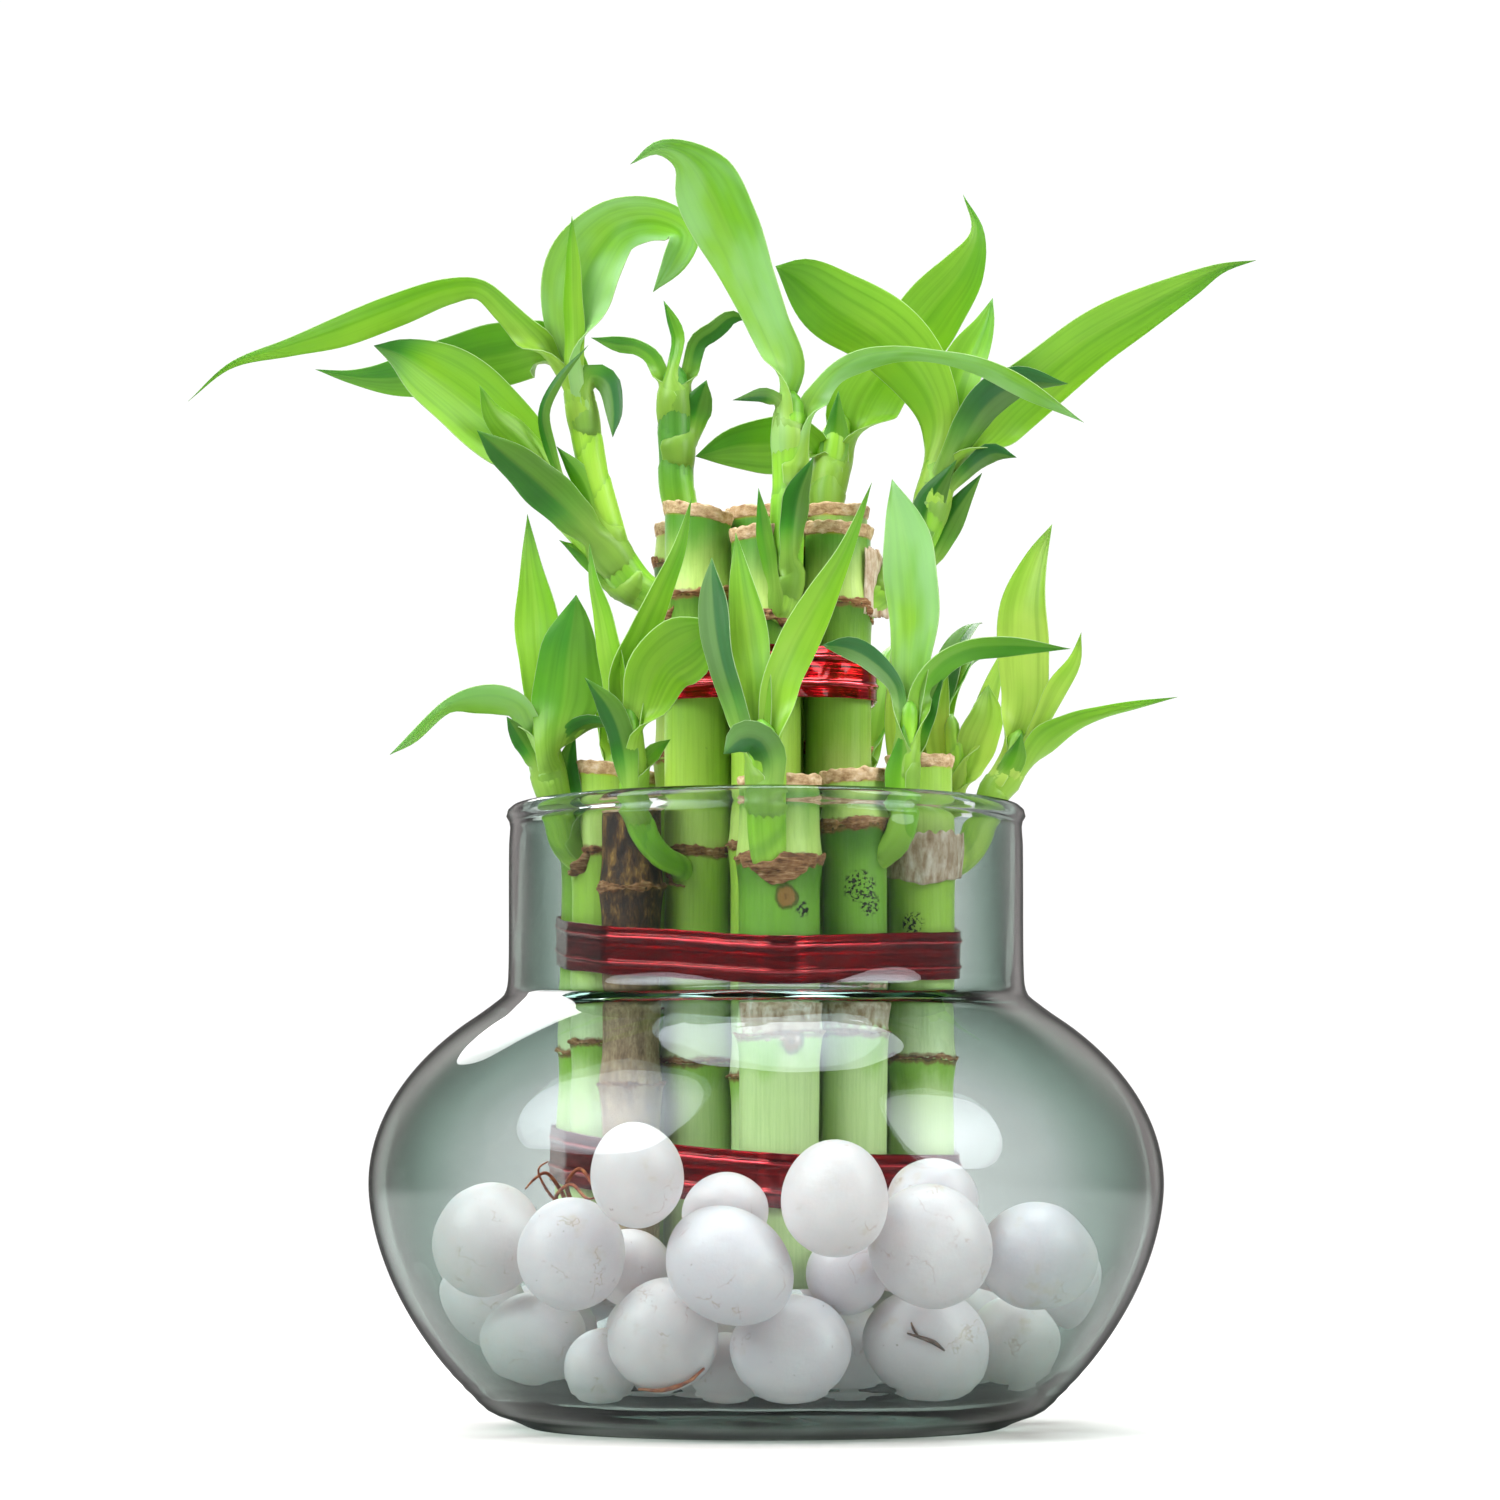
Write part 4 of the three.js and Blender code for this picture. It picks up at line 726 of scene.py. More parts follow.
# Pebble: a ball stretched to its half axes, dented by soft lumps that never reach out past them
def makePebbles(quartz):
    names = pebbleNodes()
    turn = fullTurn(pebbles["around"])
    lift = np.linspace(-math.pi / 2 + 0.02, math.pi / 2 - 0.02, pebbles["rows"])[:, None]
    ball = np.stack([np.cos(lift) * np.cos(turn), np.cos(lift) * np.sin(turn), np.sin(lift) + 0 * turn], -1)
    for number, name in enumerate(names):
        middle, axes = pebbleForm(name)
        dent = pebbles["lump"] * (1 + lumps(ball, number, 2.6)) / 2
        dent = dent + pebbles["fine"] * (1 + lumps(ball, number + 90, 1.0)) / 2
        grid = middle + (ball * (1.0 - dent[..., None])) @ axes.T
        tone = np.full(grid.shape[:2], (number * 0.618) % 1)
        body = facesOutward(closedBody(grid, {"tone": tone}))
        addPiece(f"pebble{number:02d}", [body], [quartz], [name])
    print("pebbles:", len(names))


# Milky quartz: cloudy white, faint warm and grey stains, polished
def milkyQuartz():
    material, tree = newMaterial("Milky white quartz")
    place = placeInMm(tree)
    tone = addNode(tree, "Attribute", {"attribute_name": "tone"}).outputs["Fac"]
    colours = {name: hexToLinear(pebbles[name]) for name in ("warm", "cool", "cloud", "stain", "crack", "speck")}
    cloud = noiseOf(tree, place, (0.09, 0.09, 0.09), detail=4)
    white = mixColour(tree, tone, colours["warm"], colours["cool"])
    white = mixColour(tree, easeStep(tree, cloud, 0.4, 0.7, 0.6), white, colours["cloud"])
    stain = noiseOf(tree, place, (0.16, 0.16, 0.16), detail=6, roughness=0.65)
    white = mixColour(tree, easeStep(tree, stain, 0.58, 0.72, 0.4), white, colours["stain"])
    crack = math2(tree, "SUBTRACT", noiseOf(tree, place, (0.07, 0.07, 0.07), detail=5), 0.5)
    crack = math2(tree, "ABSOLUTE", crack)
    crack = math2(tree, "MULTIPLY", easeStep(tree, crack, 0.008, 0.0, 0.5), easeStep(tree, stain, 0.48, 0.6))
    white = mixColour(tree, crack, white, colours["crack"])
    speck = noiseOf(tree, place, (0.9, 0.9, 0.9), detail=2)
    white = mixColour(tree, easeStep(tree, speck, 0.735, 0.76, 0.6), white, colours["speck"])
    skin = noiseOf(tree, place, (0.5, 0.5, 0.5), detail=5)
    inputs = {"Base Color": white, "Roughness": 0.4, "IOR": 1.5, "Subsurface Weight": 0.45,
              "Subsurface Radius": (0.007, 0.0042, 0.0036), "Subsurface Scale": 1.0,
              "Normal": bumpOf(tree, skin, 0.12)}
    toOutput(tree, addNode(tree, "BsdfPrincipled", inputs=inputs).outputs[0])
    return material


# Leaf colour: its place on the ramp at the base and tip, where along the leaf it turns, and its share of painted
# pale sheen
# On the pale arching leaf that pale green also stands for its own paler underside
leafKinds = {
    "pale": (0.0, 0.1, 0.6, 0.0), "lime": (0.25, 0.34, 0.7, 0.0), "mid": (0.42, 0.55, 0.6, 0.0),
    "dark": (0.55, 0.82, 0.35, 0.0), "teal": (0.6, 1.0, 0.35, 0.1), "sheen": (0.3, 0.38, 0.5, 0.6),
    "limeTealTip": (0.25, 0.95, 0.88, 0.1), "archPale": (0.4, 0.3, 0.45, 0.75),
    "paleStem": (0.05, 0.15, 0.5, 0.0), "limeStem": (0.2, 0.22, 0.6, 0.0), "midStem": (0.34, 0.3, 0.5, 0.0),
    "darkStem": (0.35, 0.62, 0.4, 0.0),
}
# The pale green sheen colour is painted sky reflection; on the arching leaf it is also the paler underside
leaf = {
    "columns": 15, "thickness": 0.55, "fold": 0.42, "wrap": 2.0, "crease": 0.05, "ripple": 0.09,
    "sheath": (8.0, 5.0, 2.0), "sunk": (0.9, 1.04, 1.07),
    "colours": [(0.0, "#bcd95e"), (0.22, "#86c028"), (0.42, "#64aa22"), (0.6, "#3d8a22"), (0.8, "#2a6e19"),
                (1.0, "#1f6230")],
    "base": "#b9dc62", "tip": "#2f7a22", "margin": "#c6dca6", "paleSideAndSheen": "#a6d694", "through": "#a2dc1e",
    "vein": "#5d9a2e",
}
stem = {"around": 28, "step": 1.0, "sheathEvery": 11.0, "lap": 0.26, "slant": 2.6, "swell": 0.2,
        "lapShade": "#2c6b1f"}


# Knots of a drawn line. A point without a depth of its own takes its share of the way from base to tip, and
# half widths grow with the distance from the eye.
def drawnKnots(base, tip, points):
    share = np.linspace(0, 1, len(points))
    rows = [(p[0], p[1], p[2], p[3] if len(p) > 3 else base + (tip - base) * s) for p, s in zip(points, share)]
    x, z, wide, depth = np.array(rows, float).T
    near = (depth - eye[1]) / -eye[1]
    return np.column_stack([sighted(x, z, depth), wide * near])


# Length of a path from its start to each of its points
def runLength(path):
    return np.concatenate([[0], np.cumsum(np.linalg.norm(np.diff(path[:, :3], axis=0), axis=1))])


# Marks of a blade or stem: how far along and across each point is, its tone, where its veins run, and its painted
# sheen
def toneMarks(kind, along, across, place):
    first, last, turnAt, paleSideAndSheen = leafKinds[kind]
    tone = first + (last - first) * eased(along, turnAt - 0.14, turnAt + 0.14)
    shape = np.stack(np.broadcast_arrays(along, across, tone), -1)
    return {"leafShape": shape, "leafPlace": place, "paleSideAndSheen": np.full(shape.shape[:2], paleSideAndSheen)}


# Way from a stem's axis toward a leaf, square to the stem, and knots up the stem for the leaf's sheath
def sheathKnots(knots, axis):
    nearest = int(np.argmin(np.linalg.norm(axis[:, :3] - knots[0, :3], axis=1)))
    ahead = unit(np.gradient(axis[:, :3], axis=0))[nearest]
    lean = knots[min(2, len(knots) - 1), :3] - axis[nearest, :3]
    outward = unit(lean - ahead * (lean @ ahead))
    run = runLength(axis)
    rows = []
    for back, sunk in zip(leaf["sheath"], leaf["sunk"]):
        at = run[nearest] - back
        if at > 0.8:
            x, y, z, radius = (np.interp(at, run, column) for column in axis.T)
            rows.append(np.append(np.array([x, y, z]) + outward * radius * sunk, radius * sunk))
    knots = knots.copy()
    knots[0, :3] += outward * max(0.0, axis[nearest, 3] * 1.02 - (knots[0, :3] - axis[nearest, :3]) @ outward)
    return np.vstack(rows + [knots]), outward, len(rows)


# Leaf: a sheath that wraps the stem, and a blade that opens from it. Its section is an arc: it wraps by two
# radians at the base and folds by less than half a radian farther out, with a crease on the midrib and
# slow ripples toward the margins. A front and a back face make it closed.
def leafBody(kind, knots, axis, facing, roll, seed):
    draw = np.random.default_rng(seed)
    knots, outward, sheathRows = sheathKnots(knots, axis)
    rough = runLength(knots)
    path, length = smoothPath(knots, int(min(74, max(18, rough[-1] / 1.35))))
    sheath = length * rough[sheathRows] / rough[-1]
    blade = length - sheath
    run = np.linspace(0, length, len(path))[:, None]
    along = np.clip((run - sheath) / blade, 0, 1)
    across = np.sin(np.linspace(-1, 1, leaf["columns"]) * math.pi / 2)[None]
    middle, wide = path[:, :3], np.maximum(path[:, 3:4], 0.03)
    ahead = unit(np.gradient(middle, axis=0))
    seen = -unit(middle - eye) if facing is None else np.broadcast_to(facing, middle.shape)
    if np.mean(seen @ -outward) < -0.25:
        seen = -seen
    open_ = eased(run, sheath * 0.55, sheath + 0.3 * blade)
    left = unit(np.cross(seen, ahead))
    seen = np.cross(ahead, left) * math.cos(roll) + left * math.sin(roll)
    face = -outward * (1 - open_) + seen * open_
    face = unit(face - ahead * np.sum(face * ahead, axis=1, keepdims=True))
    left = np.cross(face, ahead)
    full = wide / (1 - open_ + max(math.cos(roll), 0.35) * open_)
    angle = leaf["fold"] + (leaf["wrap"] - leaf["fold"]) * (1 - eased(run, sheath * 0.5, sheath + 0.24 * blade))
    radius = full / np.sin(np.minimum(angle, math.pi / 2))
    side = radius * np.sin(angle * across)
    lift = radius * (1 - np.cos(angle * across))
    lift = lift - leaf["crease"] * full * np.exp(-(across / 0.13) ** 2) * eased(along, 0.1, 0.4)
    waves = draw.uniform(1.0, 2.2, 2)
    starts = draw.uniform(0, 6.28, 2)
    grown = eased(along, 0.08, 0.35)
    for i, edge in enumerate((across.clip(0, 1), (-across).clip(0, 1))):
        wave = np.sin(2 * math.pi * waves[i] * along + starts[i])
        lift = lift + leaf["ripple"] * full * grown * edge ** 2 * wave
        side = side * (1 + 0.05 * grown * (edge > 0) * np.sin(2 * math.pi * waves[i] * along * 1.3 + starts[i]))
    sheet = middle[:, None] + left[:, None] * side[..., None] + face[:, None] * lift[..., None]
    normal = unit(np.cross(np.gradient(sheet, axis=0), np.gradient(sheet, axis=1)))
    normal[-1] = normal[-2]
    half = leaf["thickness"] / 2 * (1 - 0.75 * across ** 2) * np.minimum(1, wide / 1.2)
    front = sheet + normal * half[..., None]
    back = (sheet - normal * half[..., None])[:, ::-1]
    grid = np.concatenate([front, back], 1)
    across = np.concatenate([across, across[:, ::-1]], 1) + 0 * run
    place = np.stack(np.broadcast_arrays(across * wide.max(), run, seed * 3.7), -1)
    return facesOutward(closedBody(grid, toneMarks(kind, along + 0 * across, across, place)))


# Stem of leaf sheaths: a tube whose radius steps in at each slanted sheath edge, swollen at its base
def stemBody(kind, path, length, seed):
    draw = np.random.default_rng(seed)
    along = np.linspace(0, 1, len(path))[:, None]
    turn = fullTurn(stem["around"])[None]
    middle, wide = path[:, :3], path[:, 3:4]
    ahead = unit(np.gradient(middle, axis=0))
    side = unit(np.cross(ahead, [0.0, 1.0, 0.0]))
    front = np.cross(ahead, side)
    run = along * length
    edges = max(1, round(length / stem["sheathEvery"]))
    gap = length / (edges + 0.35)
    for i in range(edges):
        level = gap * (i + 0.62 + 0.15 * draw.uniform(-1, 1))
        past = run - (level + stem["slant"] * np.cos(turn - draw.uniform(0, 6.28)))
        above = np.where(past >= 0, past, above) if i else np.minimum(gap, np.abs(past))
    step = stem["lap"] * (above / gap - 0.5) * eased(run, 0, 5)
    out = wide * (1 + stem["swell"] * np.exp(-(run / 3.6) ** 2)) + step
    out = out * np.minimum(1, 0.35 + (run + 0.01) / 1.6) * np.sqrt(np.clip((length - run) / 2.2, 0.03, 1))
    way = np.cos(turn)[..., None] * side[:, None] + np.sin(turn)[..., None] * front[:, None]
    grid = middle[:, None] + out[..., None] * way
    place = np.stack(np.broadcast_arrays(turn * wide.mean(), run, seed * 3.7), -1)
    marks = toneMarks(kind, along + 0 * turn, 0 * turn + 0 * along, place)
    marks["lap"] = above
    return facesOutward(closedBody(grid, marks))


# Colours shared by blades and stems: the ramp by tone, streaked by the veins, paler at the base
# Painted light: one half of each blade is lighter as if lit, and patches of pale sheen are painted on
def leafColour(tree):
    shape = addNode(tree, "Attribute", {"attribute_name": "leafShape"}).outputs["Vector"]
    place = addNode(tree, "Attribute", {"attribute_name": "leafPlace"}).outputs["Vector"]
    along, across, tone = addNode(tree, "SeparateXYZ", inputs={"Vector": shape}).outputs
    paleSideAndSheen = addNode(tree, "Attribute", {"attribute_name": "paleSideAndSheen"}).outputs["Fac"]
    veins = noiseOf(tree, place, (0.9, 0.02, 1.0), detail=4, roughness=0.55)
    cloud = noiseOf(tree, place, (0.12, 0.05, 1.0), detail=2)
    shifted = math2(tree, "ADD", tone, math2(tree, "MULTIPLY", math2(tree, "SUBTRACT", cloud, 0.5), 0.34))
    body = colourRamp(tree, shifted, leaf["colours"])
    # Painted light: the half of the blade on one side of the midrib is made lighter, as if it faced the lamps
    half = easeStep(tree, across, -0.1, 0.1, 0.18)
    body = mixColour(tree, half, body, hexToLinear(leaf["base"]))
    body = mixColour(tree, easeStep(tree, along, 0.35, 0.0, 0.45), body, hexToLinear(leaf["base"]))
    body = mixColour(tree, easeStep(tree, along, 0.8, 1.0, 0.5), body, hexToLinear(leaf["tip"]))
    body = mixColour(tree, easeStep(tree, veins, 0.4, 0.7, 0.3), body, hexToLinear(leaf["vein"]), "MULTIPLY")
    # Painted sheen: patches of pale green for sky reflected on the blade, and the paler underside of the arching
    # leaf
    paleSideAndSheenShare = math2(tree, "MULTIPLY", paleSideAndSheen, easeStep(tree, cloud, 0.3, 0.65))
    body = mixColour(tree, paleSideAndSheenShare, body, hexToLinear(leaf["paleSideAndSheen"]))
    return body, across, veins


# Leaf blade: waxy, with fine parallel veins and a thin pale margin, and lit through from behind
def leafGreen():
    material, tree = newMaterial("Waxy green leaf")
    body, across, veins = leafColour(tree)
    edge = easeStep(tree, math2(tree, "ABSOLUTE", across), 0.975, 0.995, 0.6)
    body = mixColour(tree, edge, body, hexToLinear(leaf["margin"]))
    inputs = {"Base Color": body, "Roughness": 0.38, "IOR": 1.45, "Specular IOR Level": 0.4,
              "Normal": bumpOf(tree, veins, 0.1)}
    waxy = addNode(tree, "BsdfPrincipled", inputs=inputs).outputs[0]
    warm = mixColour(tree, 0.45, body, hexToLinear(leaf["through"]))
    through = addNode(tree, "BsdfTranslucent", inputs={"Color": warm}).outputs[0]
    toOutput(tree, addNode(tree, "MixShader", inputs={0: 0.34, 1: waxy, 2: through}).outputs[0])
    return material


# Shoot stem: leaf sheaths lapped over each other, a little see-through, with painted shade close above each lap
def stemGreen():
    material, tree = newMaterial("Green shoot stem")
    body, _, veins = leafColour(tree)
    lap = addNode(tree, "Attribute", {"attribute_name": "lap"}).outputs["Fac"]
    body = mixColour(tree, easeStep(tree, lap, 2.0, 0.0, 0.35), body, hexToLinear(stem["lapShade"]))
    inputs = {"Base Color": body, "Roughness": 0.4, "IOR": 1.45, "Specular IOR Level": 0.4,
              "Normal": bumpOf(tree, veins, 0.1), "Subsurface Weight": 0.15,
              "Subsurface Radius": (0.0014, 0.002, 0.0005), "Subsurface Scale": 1.0}
    toOutput(tree, addNode(tree, "BsdfPrincipled", inputs=inputs).outputs[0])
    return material


# Shoots as drawn. Each line is a kind, the depth of its base and tip behind the bowl's axis, a roll in
# degrees about its midrib, and points (x, z, half width), or with a depth of their own.
tallShoots = {
    1: [
        ("darkStem", 5, 9, 0, [(-13, 167, 2.8), (-16.5, 178, 3.3), (-17, 187, 3.3), (-17.2, 195, 3.2),
            (-17, 203, 1.8)]),
        ("dark", 7, 5, 0, [(-15.5, 190, 2.4), (-12.5, 196, 2.6), (-11.2, 200, 0)]),
        ("mid", 9, 13, 35, [(-17.2, 199, 1.6), (-21, 204, 1.6), (-24.5, 206.5, 1.5), (-28, 206.9, 1.4),
            (-33, 208, 0)]),
        ("mid", 9, 8, 40, [(-16.8, 200, 1.4), (-16.8, 207.5, 1.3), (-17.7, 211, 1.1), (-19.3, 215, 0)]),
        ("dark", 9, 12, -30, [(-16.5, 199, 1.8), (-13, 207, 1.8), (-10, 209.3, 1.8), (-6.5, 212, 1.4),
            (-3.5, 211.5, 0)]),
    ],
    2: [
        ("midStem", -8, -12, 0, [(-16, 157, 3), (-24, 160.5, 3.8), (-30, 168, 3.8), (-36, 174, 3.6),
            (-42, 182, 2.4)]),
        ("limeStem", -10, -12, 0, [(-27, 164, 2.4), (-29, 170, 2.9), (-32, 180, 2.9), (-34, 190, 2.9),
            (-36.3, 203, 2)]),
        ("dark", -15, -23, 10, [(-32, 170, 2.5), (-36, 174, 3.8), (-44, 181.5, 4), (-50, 186.5, 2.6),
            (-54.5, 190.5, 0)]),
        ("limeTealTip", -11, -18, -20, [(-39, 179, 3), (-46, 186.5, 6), (-55, 195, 7.4), (-63, 201, 6),
            (-69, 204.8, 3), (-74, 206.5, 0)]),
        ("lime", -13, -20, -20, [(-40, 181, 2.5), (-46, 188.5, 3), (-51, 193, 2.2), (-54, 199, 0)]),
        ("dark", -15, -19, 30, [(-37, 178, 1), (-41, 188, 1.2), (-42, 194, 1.1), (-39.5, 199.5, 0.9),
            (-33.5, 206.6, 0)]),
        ("lime", -12, -20, 45, [(-36, 198, 2), (-43, 206.5, 2.5), (-49, 213.3, 2.2), (-54, 217.5, 1.8),
            (-60, 217.2, 2.3), (-70, 213.6, 3.1), (-80, 209.8, 3.1), (-90, 206.6, 1.8),
            (-101, 202.9, 0.6), (-109, 196, 0)]),
        ("mid", -10, 0, 20, [(-36.5, 200, 3), (-42, 206, 5), (-50, 205, 6.2), (-60, 203, 5.6), (-70, 200.5, 3.4),
            (-78, 200.7, 1.4), (-85, 202, 0)]),
        ("sheen", -12, -17, 10, [(-36, 199, 2.6), (-36, 208, 5), (-35.5, 216, 6.7), (-33, 223, 7),
            (-28, 229, 5.3), (-21, 230.3, 4.1), (-15.6, 227.6, 3.1), (-17.4, 222.5, 2.5), (-21.3, 216.6, 0)]),
        ("lime", -14, -18, 30, [(-36, 200, 1.8), (-36.4, 212, 1.9), (-36.6, 222, 1.4), (-36.6, 231, 0)]),
        ("teal", -13, -17, 0, [(-35.5, 197, 2), (-33, 201, 2.2), (-29.8, 199.5, 2.2), (-28.7, 194, 1.6),
            (-28.9, 189.2, 0)]),
        ("mid", -12, -15, 0, [(-31, 174, 2), (-34.5, 181, 2.3), (-39.5, 187.5, 0)]),
        ("mid", -9, -12, 0, [(-28, 162, 1.6), (-34, 166.5, 1.6), (-39, 169.8, 0)]),
        ("midStem", 0, 0, 0, [(-15.5, 107, 2, -10), (-16.6, 108.5, 2.2, -16), (-19.3, 110, 2.3, -20.5),
            (-21.8, 112.5, 2.4, -22.8), (-24.4, 118, 2.5, -23.8), (-25, 125, 2.5, -24.2), (-26.4, 139, 1.7, -25)]),
        ("lime", -25, -21, -25, [(-25.8, 132, 2), (-26.5, 143, 3.3), (-23.5, 152, 2.8), (-20, 160, 2.2),
            (-16.5, 168, 1.3), (-14, 177.8, 0)]),
        ("lime", -25, -22, 25, [(-26, 133, 1.8), (-29, 147, 2.4), (-30.5, 155, 1.8), (-32.4, 162, 1),
            (-33.3, 169, 0)]),
        ("dark", -26, -28, 15, [(-25.3, 122, 2), (-27, 131, 2.5), (-29.5, 138, 2.3), (-34.2, 143.9, 0)]),
        ("lime", -25, -28, -15, [(-26, 133, 2.6), (-20, 146, 6.4), (-14, 150.5, 5.6), (-7, 154.5, 0)]),
        ("mid", -24, -23, 0, [(-25, 127, 1.5), (-21, 130, 1.5), (-18, 132.2, 0)]),
    ],
    3: [
        ("midStem", -18.5, -19.5, 0, [(1, 153.5, 2.4), (3, 158, 3.3), (3.8, 170, 3.3), (4.4, 180, 3.3),
            (4.5, 190, 3.2), (5, 198, 2)]),
        ("sheen", -19, -27, 15, [(4.8, 193, 2.6), (3.5, 203, 3.6), (0.5, 211, 4), (-3, 219, 5), (-7, 229, 6.5),
            (-11.5, 238, 6.2), (-15.5, 242.5, 3), (-20.5, 243.8, 1.3), (-25.6, 240.7, 0)]),
        ("archPale", -20, -17, -50, [(5.5, 187, 2), (9, 196, 2), (13, 201.5, 1.9), (18, 204, 2.2),
            (25, 205.3, 1.7), (32, 204.8, 1.3), (40, 203, 1.5), (50, 198.3, 1.7), (60, 192, 0)]),
        ("teal", -20, -24, 20, [(4.5, 195, 1.6), (0, 197, 1.5), (-6.3, 196.2, 0)]),
        ("dark", -21.5, -23, -20, [(4, 166, 2.2), (6, 178, 2.5), (9, 185.5, 0)]),
        ("mid", -21, -23, 20, [(2, 160, 1.8), (-0.5, 172, 1.5), (-1.4, 179.6, 0)]),
    ],
    4: [
        ("midStem", -8, -4, 0, [(16.5, 156, 2.6), (24, 162, 3.2), (30, 172, 3.2), (32, 180, 3.1),
            (33.6, 189, 2.2)]),
        ("lime", -5, -10, 15, [(32, 180, 2.6), (32.5, 192, 4), (29, 201, 5.8), (22, 208, 7), (13, 214, 6.8),
            (6, 219.3, 4), (1.8, 221.5, 0)]),
        ("lime", -4, 2, 15, [(33.3, 186, 2.4), (35.5, 196, 4), (38.5, 205, 3.8), (41.3, 211, 1.8),
            (42.8, 215.5, 0)]),
        ("lime", -4, -8, -25, [(32.5, 181, 2.6), (44, 193.5, 5.5), (52, 201, 5.5), (60, 207.2, 5.2),
            (70, 212.8, 4.2), (80, 218.3, 2.6), (86, 221.2, 1), (92.5, 222.6, 0)]),
        ("teal", -6, -10, -30, [(33, 183, 2.4), (41, 195, 3.5), (48, 199.5, 2.8), (57, 199.3, 0)]),
        ("teal", -6, -10, -20, [(33, 179, 1.6), (42.5, 186.2, 1.8), (47.3, 185.4, 0)]),
        ("dark", -8, -9, 0, [(28, 166, 2.4), (31, 177, 2.8), (36, 185, 0)]),
        ("dark", -5, -6, 0, [(28.5, 166, 2.2), (35, 174, 2.6), (40.8, 182.5, 0)]),
    ],
    6: [
        ("limeStem", 6, 12, 0, [(12, 169, 2.8), (11.5, 177.5, 3.2), (12.5, 184, 3.2), (14, 194, 2)]),
        ("mid", 11, 2, 20, [(12.5, 184, 2.6), (7, 188, 4.4), (0, 188, 5.2), (-6, 187.6, 4.2), (-13.3, 185.6, 0)]),
        ("mid", 9, 8, 0, [(12.5, 181, 2.2), (13, 188, 2.7), (13.7, 198, 0)]),
        ("lime", 12, 16, -20, [(13, 184, 2.4), (18, 195, 6.3), (24, 204, 6.5), (31, 213, 6), (37, 220.5, 4.2),
            (39.8, 228, 1.3), (37.2, 235, 0)]),
    ],
}
